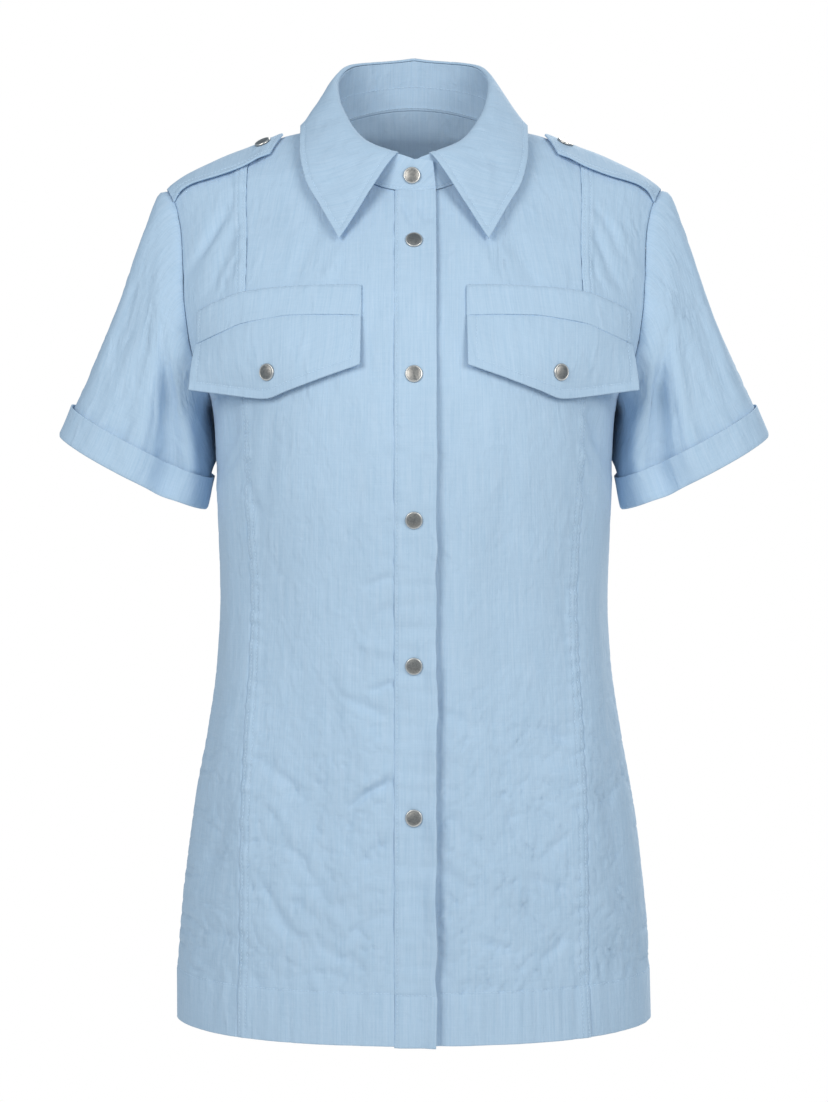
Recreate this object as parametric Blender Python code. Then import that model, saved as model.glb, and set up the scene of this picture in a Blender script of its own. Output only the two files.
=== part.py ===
"""A short-sleeved utility shirt closed with snaps, open and hollow, in the shape it has when worn.

Metres, +Z up, +X towards the wearer's left arm, front towards -Y. The origin is in the middle of the
neck, level with the neck ends of the shoulder seams, where a wearer's neck and shoulders carry it.
"""

import math

import bmesh
import bpy
import numpy as np
from mathutils import Vector
from mathutils.bvhtree import BVHTree

# Cloth and seams
CLOTH = 0.0012  # one ply
DOUBLE = 0.0016  # two plies and interfacing, as in the collar and flaps
GAP = 0.0003  # between pieces at a seam
CHORD = 0.0004  # allowed for a curved seam being drawn in straight steps
NECK_CHORD = 0.0007
TIP_EASE = 0.0005  # where the shoulder seam meets the armhole
UNDER_EASE = 0.0004  # where the side seam meets the armhole
LAYER = CLOTH + GAP  # from the middle of one ply to the middle of a ply laid on it

# Body
HEM = -0.666
HEM_RISE = 0.003  # at the side seams
UNDERARM = -0.205
SHOULDER_TIP = -0.047
SHOULDER_TIP_X = 0.184
NECK_WIDTH = 0.070  # half, at the shoulder seams
NECK_FRONT = 0.0745
NECK_BACK = 0.055
ARMHOLE_FRONT = 0.053
ARMHOLE_BACK = 0.060
ARMHOLE_SCOOP = (0.55, 0.35, 0.55)  # narrower at the top than at the underarm
EVEN_FROM, EVEN_TO = -0.185, -0.125  # columns change from equal arcs to equal widths here
SPREAD_FROM, SPREAD_TO = -0.300, -0.080  # and here from even spacing to the neckline's

BODY_COLUMNS = ("z", "half_width", "front", "back", "front_square", "back_square")
BODY = (
    (-0.666, 0.1768, 0.1170, 0.1190, 2.00, 2.10),
    (-0.606, 0.1750, 0.1150, 0.1180, 2.05, 2.15),
    (-0.554, 0.1704, 0.1130, 0.1150, 2.15, 2.15),
    (-0.501, 0.1635, 0.1120, 0.1090, 2.15, 2.10),
    (-0.449, 0.1540, 0.1120, 0.1010, 2.15, 2.05),
    (-0.396, 0.1466, 0.1140, 0.0940, 2.20, 2.05),
    (-0.354, 0.1444, 0.1190, 0.0925, 2.20, 2.05),
    (-0.310, 0.1455, 0.1270, 0.0960, 2.25, 2.10),
    (-0.285, 0.1465, 0.1320, 0.0990, 2.25, 2.12),
    (-0.260, 0.1475, 0.1360, 0.1020, 2.25, 2.15),
    (-0.230, 0.1480, 0.1385, 0.1050, 2.25, 2.15),
    (-0.205, 0.1510, 0.1380, 0.1070, 2.20, 2.15),
    (-0.180, 0.1690, 0.1335, 0.1085, 2.15, 2.15),
    (-0.155, 0.1800, 0.1260, 0.1090, 2.05, 2.10),
    (-0.130, 0.1855, 0.1160, 0.1080, 1.95, 2.05),
    (-0.100, 0.1875, 0.1015, 0.1040, 1.80, 2.00),
    (-0.070, 0.1880, 0.0830, 0.0960, 1.65, 2.00),
    (-0.055, 0.1865, 0.0735, 0.0905, 1.60, 2.00),
    (-0.047, 0.1840, 0.0675, 0.0870, 1.60, 2.00),
    (-0.0402, 0.1760, 0.0630, 0.0845, 1.60, 2.00),
    (-0.0310, 0.1600, 0.0555, 0.0810, 1.60, 2.00),
    (-0.0203, 0.1360, 0.0465, 0.0765, 1.60, 2.00),
    (-0.0122, 0.1140, 0.0405, 0.0730, 1.60, 2.00),
    (-0.0034, 0.0870, 0.0330, 0.0690, 1.60, 2.00),
    (0.000, 0.0700, 0.0270, 0.0660, 1.60, 2.00),
    (0.010, 0.0660, 0.0220, 0.0610, 1.60, 2.00),
    (0.024, 0.0600, 0.0160, 0.0545, 1.60, 2.00),
)

PRINCESS_COLUMNS = ("z", "x")
PRINCESS = (
    (-0.666, 0.1270),
    (-0.530, 0.1240),
    (-0.450, 0.1205),
    (-0.350, 0.1165),
    (-0.220, 0.1235),
    (-0.100, 0.1210),
    (-0.060, 0.1230),
)
PRINCESS_TOP = PRINCESS[-1][1]

# Front opening: the wearer's right edge laps over the left
OVER_SEAM = -0.0137
OVER_EDGE = 0.0158
UNDER_EDGE = -0.0105
UNDER_SEAM = 0.0120
LAP = 0.0009  # how far each layer moves from the body surface where they lap
LAP_ENDS = 0.042

# Sleeves, named for the wearer's left one
CUFF_CENTRE = Vector((0.2094, -0.009, -0.2560))
CUFF_TILT = math.radians(26.8)
CUFF_WIDE = 0.0605
CUFF_DEEP = 0.046
CUFF_HEIGHT = 0.023
CUFF_FLARE = 0.0012
CUFF_DIP = 0.0065  # its front hangs lower and its back higher

# Collar
STAND_WIDTH, STAND_FRONT, STAND_BACK = 0.0565, 0.0725, 0.050
LEAF_START = math.radians(11.4)
LEAF_CLEAR = 0.0016  # from the stand's top edge to the leaf's
LEAF_ROLL_ROWS = ("over", "rise", "belly", "crown")
LEAF_ROLL = ((0.0050, 0.0025), (0.0052, 0.0105), (0.0025, -0.0020), (0.0000, 0.0030))  # front, back
STAND_ROUND = 0.006  # its ends are rounded
STAND_TOP_COLUMNS = ("turn", "z")
STAND_TOP = ((0, -0.0327), (35, -0.0195), (65, 0.0075), (90, 0.0325), (130, 0.0530), (180, 0.0606))
LEAF_EDGE_COLUMNS = ("turn", "x", "y", "z")
LEAF_EDGE = (
    (11.4, 0.0535, -0.0970, -0.0928),
    (32, 0.0675, -0.0790, -0.0672),
    (50, 0.0790, -0.0630, -0.0455),
    (68, 0.0838, -0.0400, -0.0203),
    (88, 0.0842, -0.0100, 0.0010),
    (112, 0.0785, 0.0220, 0.0038),
    (145, 0.0535, 0.0570, 0.0070),
    (180, 0.0000, 0.0710, 0.0160),
)

# Chest pockets, named for the wearer's left one: heights along the flap, from the inner end
POCKET_COLUMNS = ("x", "band_top", "seam", "flap_bottom")
POCKET = (
    (0.0370, -0.1280, -0.1506, -0.1867),
    (0.0610, -0.1278, -0.1498, -0.1945),
    (0.0850, -0.1281, -0.1495, -0.2025),
    (0.1020, -0.1288, -0.1512, -0.2084),
    (0.1222, -0.1308, -0.1541, -0.2065),
    (0.1386, -0.1355, -0.1600, -0.2040),
    (0.1560, -0.1425, -0.1658, -0.2015),
)
FLAP_SPREAD = 0.004  # the free edge is that much longer at the outer end
FLAP_LIFT = 0.0035
FLAP_LEAVES = 0.098  # its free edge goes straight on from here, clear of the chest
POCKET_EASE = 0.0008  # more room over the chest's curve at the outer end

# Epaulettes
TAB_MIDDLE = -0.008
TAB_HALF = 0.0205
TAB_SWELL, TAB_TAPER = 0.027, 0.032  # so that its edges look straight from the front
TAB_POINT_X = 0.0965
TAB_SHOULDER_X = 0.1055

# Snaps
SNAP_RADIUS = 0.00625
SNAP_HEIGHT = 0.0024
SNAP_PROFILE_COLUMNS = ("share_of_radius", "share_of_height")
SNAP_PROFILE = ((0, 1), (0.45, 0.96), (0.80, 0.76), (0.97, 0.42), (1, 0.14), (0.92, 0), (0, 0))
FRONT_SNAPS = (-0.0949, -0.1924, -0.2943, -0.3973, -0.5050)
STAND_SNAP = -0.0450
FLAP_SNAP = (0.1035, -0.1895)
TAB_SNAP = (0.1125, -0.0115)

# Folds: a soft trough or ridge along a line on the body (x, z at each end), negative depth goes in
FOLD_COLUMNS = ("side", "x0", "z0", "x1", "z1", "width", "depth")
BODY_FOLDS = (
    (-1, -0.138, -0.245, -0.118, -0.560, 0.016, 0.0030),
    (-1, 0.138, -0.245, 0.120, -0.560, 0.016, 0.0030),
    (-1, -0.092, -0.340, -0.060, -0.640, 0.020, -0.0030),
    (-1, 0.060, -0.330, 0.092, -0.630, 0.022, -0.0028),
    (-1, -0.030, -0.310, -0.075, -0.440, 0.018, -0.0026),
    (1, -0.060, -0.260, -0.085, -0.620, 0.022, -0.0045),
    (1, 0.065, -0.270, 0.080, -0.640, 0.022, -0.0045),
    (1, 0.000, -0.300, 0.004, -0.560, 0.026, 0.0035),
    (1, -0.130, -0.090, -0.090, -0.250, 0.018, -0.0030),
    (1, 0.130, -0.090, 0.090, -0.250, 0.018, -0.0030),
)
SLEEVE_FOLD_COLUMNS = ("turn0", "down0", "turn1", "down1", "width", "depth")
SLEEVE_FOLDS = (
    (108, 0.22, 122, 1.05, 15, -0.0080),
    (84, 0.35, 92, 1.05, 14, 0.0022),
    (45, 0.10, 62, 0.95, 17, -0.0024),
    (300, 0.15, 285, 1.00, 18, -0.0035),
    (236, 0.25, 244, 1.05, 16, -0.0055),
    (204, 0.10, 207, 0.66, 20, 0.0085),
)

SIDES = (("left", 1), ("right", -1))


def eased(points, column):
    """A smooth curve through the rows of a table, column against the first one, with no overshoot."""
    table = np.array(points, float)
    at, value = table[:, 0], table[:, column]
    run = np.diff(at)
    slope = np.diff(value) / run
    lean = np.zeros(len(at))
    lean[0], lean[-1] = slope[0], slope[-1]
    for i in range(1, len(at) - 1):
        if slope[i - 1] * slope[i] > 0:
            before, after = 2 * run[i] + run[i - 1], run[i] + 2 * run[i - 1]
            lean[i] = (before + after) / (before / slope[i - 1] + after / slope[i])

    def read(x):
        x = np.clip(x, at[0], at[-1])
        k = np.clip(np.searchsorted(at, x) - 1, 0, len(run) - 1)
        t = (x - at[k]) / run[k]
        ends = value[k] * (1 + 2 * t) * (1 - t) ** 2 + value[k + 1] * t * t * (3 - 2 * t)
        return ends + run[k] * (lean[k] * t * (1 - t) ** 2 + lean[k + 1] * t * t * (t - 1))

    return read


def smooth(low, high, x):
    """0 below low, 1 above high, and an S between."""
    t = np.clip((x - low) / (high - low), 0, 1)
    return t * t * (3 - 2 * t)


half_width, front_depth, back_depth, front_square, back_square = (eased(BODY, i) for i in range(1, 6))
princess_x = eased(PRINCESS, 1)


def body_y(side, x, z):
    """The body's depth at a width and height: side is -1 at the front and 1 at the back."""
    depth, power = (front_depth(z), front_square(z)) if side < 0 else (back_depth(z), back_square(z))
    left = np.maximum(0, 1 - np.abs(x / half_width(z)) ** power)
    return side * depth * left ** (1 / power)


def body_x(y, z):
    """The body's half width at a depth and height."""
    side = -1 if y < 0 else 1
    depth, power = (front_depth(z), front_square(z)) if side < 0 else (back_depth(z), back_square(z))
    return half_width(z) * max(0, 1 - abs(y / depth) ** power) ** (1 / power)


def bisect(test, low, high, steps=40):
    """The place between low, where test is true, and high, where it is false."""
    for _ in range(steps):
        middle = (low + high) / 2
        low, high = (middle, high) if test(middle) else (low, middle)
    return (low + high) / 2


def ridge(x):
    """The height of the shoulder seam at a width."""
    return bisect(lambda z: half_width(z) > abs(x), SHOULDER_TIP, 0.024)


def body_z(x, y):
    """The height of the body's upper side at a width and depth."""
    side = -1 if y < 0 else 1
    top = ridge(x) if abs(x) < SHOULDER_TIP_X else SHOULDER_TIP
    return bisect(lambda z: side * (body_y(side, x, z) - y) > 0, -0.16, top)


def scoop(upward):
    """How wide the armhole is against an ellipse, from 1 at the top to -1 at the underarm."""
    down = (1 - upward) / 2
    flat, slope, curve = ARMHOLE_SCOOP
    return flat + slope * down + curve * down * down


def armhole(turn, shrink=0.0):
    """A point on the wearer's left armhole, 0 at the shoulder and 90 degrees at the front."""
    middle, high = (SHOULDER_TIP + UNDERARM) / 2, (SHOULDER_TIP - UNDERARM) / 2 - shrink
    deep = (ARMHOLE_FRONT if math.sin(turn) > 0 else ARMHOLE_BACK) - shrink
    y, z = -deep * math.sin(turn) * scoop(math.cos(turn)), middle + high * math.cos(turn)
    return np.array((body_x(y, z), y, z))


def armhole_y(side, z):
    """The depth of the armhole's edge at a height."""
    middle, high = (SHOULDER_TIP + UNDERARM) / 2, (SHOULDER_TIP - UNDERARM) / 2
    deep = ARMHOLE_FRONT if side < 0 else ARMHOLE_BACK
    upward = max(-1, min(1, (z - middle) / high))
    return side * deep * math.sqrt(1 - upward * upward) * scoop(upward)


def edge_x(side, z):
    """The widest point of a panel that ends at the side seam, the armhole or the shoulder tip."""
    if z <= UNDERARM:
        return float(half_width(z))
    if z >= SHOULDER_TIP:
        return SHOULDER_TIP_X
    return body_x(armhole_y(side, z) or side * 1e-9, z)


def equal_arc(side, inner, z, share):
    """The width at a share of the arc from the inner width to the side seam or armhole."""
    power = float(front_square(z) if side < 0 else back_square(z))
    wide = float(half_width(z))
    first = math.asin(min(1, (inner / wide) ** (power / 2)))
    last = math.asin(min(1, (edge_x(side, z) / wide) ** (power / 2)))
    turn = np.linspace(first, last, 33)
    x = wide * np.sin(turn) ** (2 / power)
    y = body_y(side, x, z)
    along = np.concatenate([[0], np.cumsum(np.hypot(np.diff(x), np.diff(y)))])
    there = float(np.interp(share * (along[-1] - GAP / 2), along, turn))
    return wide * math.sin(there) ** (2 / power)


def column_x(side, inner, z, share):
    """The width of one column of a side or back panel at a height."""
    even = float(smooth(EVEN_FROM, EVEN_TO, z))
    width = 0.0
    if even < 1:
        width += (1 - even) * equal_arc(side, inner, z, share)
    if even > 0:
        width += even * (inner + (edge_x(side, z) - GAP / 2 - inner) * share)
    return width


def body_normal(point):
    """The body's unit normal at a point on it, facing out."""
    x, y, z = point
    side = -1 if y < 0 else 1
    step = 0.0004
    safe = min(abs(x), 0.995 * float(half_width(z)) - step)
    across = (body_y(side, safe + step, z) - body_y(side, safe - step, z)) / (2 * step)
    up = (body_y(side, safe, z + step) - body_y(side, safe, z - step)) / (2 * step)
    normal = np.array((-across * (1 if x >= 0 else -1), 1, -up)) * side
    return normal / np.linalg.norm(normal)


def neckline(turn):
    """A point where the neck of the shirt is sewn to the stand: 0 at the front, 90 at the left shoulder."""
    side = -1 if math.cos(turn) > 0 else 1
    x = NECK_WIDTH * math.sin(turn)
    y = -(NECK_FRONT if side < 0 else NECK_BACK) * math.cos(turn)
    if side < 0:
        return np.array((x, y, body_z(x, y)))
    z = bisect(lambda z: body_y(1, x, z) > y, -0.05, 0.024)
    return np.array((x, y, z))


def column_top(side, width_at):
    """The height where a column meets the neckline or the shoulder seam."""
    deep = NECK_FRONT if side < 0 else NECK_BACK

    def below(z):
        x = width_at(z)
        apart = GAP / 2 + TIP_EASE * smooth(0.14, 0.18, abs(x))
        if abs(x) >= half_width(z) or abs(body_y(side, x, z)) < apart:
            return False
        return abs(x) >= NECK_WIDTH or (x / NECK_WIDTH) ** 2 + (body_y(side, x, z) / deep) ** 2 > 1

    return bisect(below, -0.12, 0.024)


def evenly(path, count):
    """The path again with count equal steps."""
    path = np.array(path)
    along = np.concatenate([[0], np.cumsum(np.linalg.norm(np.diff(path, axis=0), axis=1))])
    at = np.linspace(0, along[-1], count + 1)
    return np.stack([np.interp(at, along, path[:, k]) for k in range(3)], axis=1)


def column(side, width_at, low_rows, high_rows, hem=HEM):
    """Points up one column of a panel, from the hem to the underarm's height and on to the top."""

    def point(z):
        x = width_at(z)
        return (x, float(body_y(side, x, z)), z)

    top = column_top(side, width_at)
    start = hem + HEM_RISE * (abs(width_at(hem)) / float(half_width(hem))) ** 6
    low = [point(z) for z in np.linspace(start, UNDERARM, 60)]
    share = (1 - np.cos(np.linspace(0, math.pi, 90))) / 2
    high = [point(UNDERARM + (top - UNDERARM) * s) for s in share]
    high[-1] = point(top - 1e-6)
    return np.concatenate([evenly(low, low_rows), evenly(high, high_rows)[1:]])


def bezier(start, first, last, end, steps):
    """Points along a curve that leaves start towards first and comes to end from last."""
    t = np.linspace(0, 1, steps + 1)[:, None]
    return start * (1 - t) ** 3 + 3 * t * (1 - t) * (first * (1 - t) + last * t) + end * t**3


def normals(grid, closed=False):
    """Unit normals of a grid of points, rows up and columns towards the wearer's left, pointing out."""
    along = np.gradient(grid, axis=1)
    if closed:
        along = (np.roll(grid, -1, axis=1) - np.roll(grid, 1, axis=1)) / 2
    up = np.gradient(grid, axis=0)
    normal = np.cross(along, up)
    return normal / np.maximum(np.linalg.norm(normal, axis=2, keepdims=True), 1e-12)


def fold_depth(folds, across, along, reach=1.0):
    """How far a set of folds moves a point, where across and along are its place on the cloth."""
    moved = np.zeros(np.shape(across))
    for a0, b0, a1, b1, width, depth in folds:
        run = np.array((a1 - a0, (b1 - b0) * reach))
        length = np.linalg.norm(run)
        off = np.stack([across - a0, (along - b0) * reach], axis=-1)
        share = (off @ run) / length**2
        away = np.abs(off[..., 0] * run[1] - off[..., 1] * run[0]) / length
        ends = smooth(-0.15, 0.25, share) * (1 - smooth(0.75, 1.15, share))
        moved += depth * ends * np.exp(-((away / width) ** 2))
    return moved


def folded(grid, side):
    """The grid with the body's folds in it. They die out at the side seams and the front opening."""
    folds = [row[1:] for row in BODY_FOLDS if row[0] == side]
    across = np.abs(grid[..., 0])
    depth = fold_depth(folds, grid[..., 0], grid[..., 2])
    depth *= 1 - smooth(0.90, 0.99, across / half_width(grid[..., 2]))
    if side < 0:
        depth *= smooth(0.018, 0.045, across)
    return grid + normals(grid) * depth[..., None]


def mirrored(grid):
    """The grid on the other side of the body, with its columns still towards the wearer's left."""
    return grid[:, ::-1] * np.array((-1, 1, 1))


def material(name, colour, roughness, metallic=0.0):
    found = bpy.data.materials.new(name)
    found.use_nodes = True
    shader = found.node_tree.nodes["Principled BSDF"]
    shader.inputs["Base Color"].default_value = (*colour, 1)
    shader.inputs["Roughness"].default_value = roughness
    shader.inputs["Metallic"].default_value = metallic
    return found


def sheet(name, grid, finish, thickness=CLOTH, closed=False):
    """A cloth wall around a grid of points, which is the middle of the cloth."""
    rows, columns = grid.shape[:2]
    mesh = bpy.data.meshes.new(name)
    shape = bmesh.new()
    points = [[shape.verts.new(p) for p in row] for row in grid]
    for r in range(rows - 1):
        for c in range(columns if closed else columns - 1):
            d = (c + 1) % columns
            shape.faces.new((points[r][c], points[r][d], points[r + 1][d], points[r + 1][c]))
    shape.to_mesh(mesh)
    shape.free()
    mesh.shade_smooth()
    mesh.materials.append(finish)
    piece = bpy.data.objects.new(name, mesh)
    bpy.context.scene.collection.objects.link(piece)
    wall = piece.modifiers.new("Cloth", "SOLIDIFY")
    wall.thickness = thickness
    wall.offset = 0
    wall.use_even_offset = False
    return piece


def lapped(grid, edge, sign):
    """A front panel's points moved in or out near the front opening, where it lies under or over."""
    near = 1 - smooth(abs(edge), LAP_ENDS, np.abs(grid[..., 0]))
    return grid + normals(grid) * (sign * LAP * near)[..., None]


def neck_shares(edge, outer, neck_columns, shoulder_columns):
    """Each column's share of the width, at the hem and at the neckline, where columns turn evenly."""
    corner = (NECK_WIDTH - edge) / (outer - edge)
    turns = np.linspace(math.asin(edge / NECK_WIDTH), math.pi / 2, neck_columns + 1)
    neck = (NECK_WIDTH * np.sin(turns) - edge) / (outer - edge)
    high = np.concatenate([neck, np.linspace(corner, 1, shoulder_columns + 1)[1:]])
    return list(zip(np.linspace(0, 1, len(high)), high))


def front_panel(edge, low_rows=17, high_rows=9, neck_columns=8, shoulder_columns=3):
    """The panel from the front opening to the princess seam, built on the wearer's left."""

    def width(low, high):
        def at(z):
            share = low + (high - low) * float(smooth(SPREAD_FROM, SPREAD_TO, z))
            return edge + (float(princess_x(z)) - GAP / 2 - edge) * share

        return at

    shares = neck_shares(edge, PRINCESS_TOP, neck_columns, shoulder_columns)
    return np.stack([column(-1, width(*pair), low_rows, high_rows) for pair in shares], axis=1)


def side_panel(low_rows=17, high_rows=9, columns=7):
    """The panel from the princess seam to the side seam and armhole."""

    def width(share):
        def at(z):
            inner = float(princess_x(z)) + GAP / 2
            return column_x(-1, inner, z, share)

        return at

    return np.stack([column(-1, width(s), low_rows, high_rows) for s in np.linspace(0, 1, columns)], axis=1)


def back_panel(low_rows=17, high_rows=9, neck_columns=8, shoulder_columns=6):
    """The back, in one piece, with its neckline, shoulder seams, armholes and side seams."""

    def width(low, high):
        def at(z):
            share = low + (high - low) * float(smooth(SPREAD_FROM, SPREAD_TO, z))
            return column_x(1, 0.0, z, share)

        return at

    shares = neck_shares(0.0, SHOULDER_TIP_X, neck_columns, shoulder_columns)
    left = np.stack([column(1, width(*pair), low_rows, high_rows) for pair in shares], axis=1)
    return np.concatenate([mirrored(left), left[:, 1:]], axis=1)[:, ::-1]


def sleeve_line(turn):
    """The line down the wearer's left sleeve at a turn, from the armhole to the lower edge, in fine steps."""
    top_share = (1 + math.cos(turn)) / 2
    start = armhole(turn, GAP)
    outward = np.array((0.94, 0, -0.34)) * top_share + np.array((0.72, 0, -0.69)) * (1 - top_share)
    outward += np.array((0, -0.22 * math.sin(turn), 0))
    outward /= np.linalg.norm(outward)
    clear = GAP + CHORD + UNDER_EASE * (1 - top_share) + CLOTH / 2 * abs(float(body_normal(start) @ outward))
    start = start + outward * clear
    wide = np.array((math.cos(CUFF_TILT), 0, math.sin(CUFF_TILT)))
    axis = np.array((math.sin(CUFF_TILT), 0, -math.cos(CUFF_TILT)))
    end = np.array(CUFF_CENTRE) + wide * CUFF_WIDE * math.cos(turn)
    end = end + np.array((0, -CUFF_DEEP, -CUFF_DIP)) * math.sin(turn)
    first = start + outward * (0.019 * top_share + 0.013 * (1 - top_share) + 0.020 * abs(math.sin(turn)))
    inner = np.array((0.225, 0, -0.974))
    last = end - axis * 0.128 * top_share - inner * 0.038 * (1 - top_share)
    return bezier(start, first, last, end, 59)


def sleeve_grid(around, shares=None, heights=None, lift=0.0):
    """Rings of the wearer's left sleeve, the lowest first.

    They stand at shares of its length up from the lower edge, or at the same heights above that edge
    all round. Each is lifted off the sleeve by lift.
    """
    turns = -np.arange(around) * 2 * math.pi / around
    rings = len(shares if heights is None else heights)
    grid = np.zeros((rings, around, 3))
    down = np.zeros((rings, around))
    for c, turn in enumerate(turns):
        line = sleeve_line(turn)[::-1]
        along = np.concatenate([[0], np.cumsum(np.linalg.norm(np.diff(line, axis=0), axis=1))])
        at = np.array(shares) * along[-1] if heights is None else np.array(heights)
        grid[:, c] = np.stack([np.interp(at, along, line[:, k]) for k in range(3)], axis=1)
        below = np.minimum(at, 0)[:, None]
        grid[:, c] += (line[1] - line[0]) / along[1] * below
        down[:, c] = 1 - at / along[-1]
    place = np.broadcast_to(np.degrees(turns) % 360, down.shape)
    depth = fold_depth(SLEEVE_FOLDS, place, down, reach=90.0)
    out = normals(grid, closed=True)
    return grid + out * (depth + np.reshape(lift, (-1, 1)))[..., None]


STAND_FROM = -math.asin(-UNDER_EDGE / NECK_WIDTH)
STAND_TO = 2 * math.pi + math.asin(OVER_EDGE / NECK_WIDTH)


def stand_lay(turn):
    """How far out the stand lies: its first end goes under its last."""
    return (LAP + GAP / 2) * (2 * (turn - STAND_FROM) / (STAND_TO - STAND_FROM) - 1)


def stand_top(turn):
    """A point on the top edge of the stand, on its middle."""
    deep = STAND_FRONT if math.cos(turn) > 0 else STAND_BACK
    height = float(stand_height(from_front(turn)))
    return np.array((STAND_WIDTH * math.sin(turn), -deep * math.cos(turn), height))


def from_front(turn):
    """Degrees from the front of the neck, the same on both hands."""
    return math.degrees(math.acos(max(-1, min(1, math.cos(turn)))))


stand_height = eased(STAND_TOP, 1)


def stand_grid(columns=44, rows=3):
    """The collar stand, from its hidden end under the snap round the neck to its end on top."""
    grid = np.zeros((rows + 1, columns + 1, 3))
    for c, turn in enumerate(np.linspace(STAND_FROM, STAND_TO, columns + 1)):
        low, high = neckline(turn), stand_top(turn)
        out = np.array((math.sin(turn), -math.cos(turn), 0))
        up = (high - low) / np.linalg.norm(high - low)
        low = low + up * (GAP + NECK_CHORD + CLOTH / 2 * abs(float(body_normal(low) @ up)))
        near = 1 - min(1, min(c, columns - c) / 2)
        for r in range(rows + 1):
            share = r / rows
            grid[r, c] = low + (high - low) * share + out * stand_lay(turn)
            grid[r, c] -= up * STAND_ROUND * near**2 * share
    return grid


def leaf_grid(columns=36, rows=8):
    """The collar leaf: up from the top of the stand, over, and down to its pointed edge."""
    edge = [eased(LEAF_EDGE, i) for i in (1, 2, 3)]
    grid = np.zeros((rows + 1, columns + 1, 3))
    for c, turn in enumerate(np.linspace(LEAF_START, 2 * math.pi - LEAF_START, columns + 1)):
        place = from_front(turn)
        hand = 1 if math.sin(turn) >= 0 else -1
        out = np.array((math.sin(turn), -math.cos(turn), 0))
        up = np.array((0, 0, 1))
        start = stand_top(turn) + out * stand_lay(turn) + up * LEAF_CLEAR
        end = np.array([float(read(place)) for read in edge]) * (hand, 1, 1)
        back = float(smooth(20, 110, place))
        over, rise, belly, crown = [front + (rear - front) * back for front, rear in LEAF_ROLL]
        first = start + up * rise + out * over
        last = end + (start - end) * 0.42 + out * belly + up * crown
        grid[:, c] = bezier(start, first, last, end, rows)[::-1]
    return grid


def hung_y(x, z, leaves):
    """The chest's depth, or past leaves that of a flat flap which goes straight on from there."""
    start = min(x, leaves, 0.93 * float(half_width(z)))
    y = float(body_y(-1, start, z))
    slope = (y - float(body_y(-1, start - 0.001, z))) / 0.001
    return y + slope * (x - start)


def pocket_grid(upper, lower, lift_top, lift_bottom, rows, columns=10):
    """A piece of the wearer's left pocket between two columns of its table, lying on the chest."""
    high, low = eased(POCKET, upper), eased(POCKET, lower)
    inner, outer = POCKET[0][0], POCKET[-1][0]
    grid = np.zeros((rows + 1, columns + 1, 3))
    for c in range(columns + 1):
        share = c / columns
        x = inner + (outer - inner) * share
        for r in range(rows + 1):
            up = r / rows
            z = float(low(x)) + (float(high(x)) - float(low(x))) * up
            spread = FLAP_SPREAD * share**3 * (1 - up) * (lift_bottom > lift_top)
            leaves = outer - (outer - FLAP_LEAVES) * (1 - up) ** 0.7 * (lift_bottom > lift_top)
            grid[r, c] = (x + spread, hung_y(x + spread, z, leaves), z)
    lift = lift_bottom + (lift_top - lift_bottom) * np.linspace(0, 1, rows + 1)[:, None]
    lift = lift + POCKET_EASE * np.linspace(0, 1, columns + 1) ** 2
    return grid + normals(grid) * lift[..., None]


def tab_grid(rows=8, columns=9):
    """The wearer's left epaulette, from its pointed end out to the armhole."""
    grid = np.zeros((rows + 1, columns + 1, 3))
    for r in range(rows + 1):
        across = 2 * r / rows - 1
        for c in range(columns + 1):
            share = c / columns
            y = TAB_MIDDLE * (1 - share) + (TAB_HALF + TAB_SWELL * share - TAB_TAPER * share**2) * across
            point = TAB_POINT_X + (TAB_SHOULDER_X - TAB_POINT_X) * abs(across)
            turn = bisect(lambda b: abs(armhole(b if y < 0 else -b)[1]) < abs(y), 0, 1.4)
            last = armhole(turn if y < 0 else -turn)[0] - 2.5 * GAP
            x = point + (last - point) * share
            grid[r, c] = (x, y, body_z(x, y))
    out = normals(grid)
    flip = np.sign(out[..., 2:3])
    lift = (CLOTH + DOUBLE) / 2 + 3 * GAP + 0.0011 * (1 - smooth(0, 0.35, np.linspace(0, 1, columns + 1)))
    return grid + out * flip * lift[None, :, None]


def snap_mesh():
    """A domed snap cap with a turned rim: a closed profile swept round its axis."""
    mesh = bpy.data.meshes.new("snap_cap")
    edges = [(i, i + 1) for i in range(len(SNAP_PROFILE) - 1)]
    mesh.from_pydata([(x * SNAP_RADIUS, 0, z * SNAP_HEIGHT) for x, z in SNAP_PROFILE], edges, [])
    return mesh


def place_snap(name, mesh, finish, grid, clear, start, direction):
    """A snap cap standing on a cloth grid, where a straight line from start meets it."""
    rows, columns = grid.shape[:2]
    corners = [Vector(p) for p in grid.reshape(-1, 3)]
    cells = []
    for r in range(rows - 1):
        for c in range(columns - 1):
            a = r * columns + c
            cells.append((a, a + 1, a + columns + 1, a + columns))
    tree = BVHTree.FromPolygons(corners, cells)
    point, facing, _, _ = tree.ray_cast(Vector(start), Vector(direction))
    if facing.dot(Vector(direction)) > 0:
        facing.negate()
    piece = bpy.data.objects.new(name, mesh)
    bpy.context.scene.collection.objects.link(piece)
    if not mesh.materials:
        mesh.materials.append(finish)
    spin = piece.modifiers.new("Turned", "SCREW")
    spin.steps = spin.render_steps = 14
    spin.use_merge_vertices = True
    spin.merge_threshold = 0.00001
    spin.use_smooth_shade = True
    piece.rotation_mode = "QUATERNION"
    piece.rotation_quaternion = facing.to_track_quat("Z", "Y")
    piece.location = point + facing * clear
    return piece


def clear_scene():
    for thing in list(bpy.data.objects):
        bpy.data.objects.remove(thing)


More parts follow.
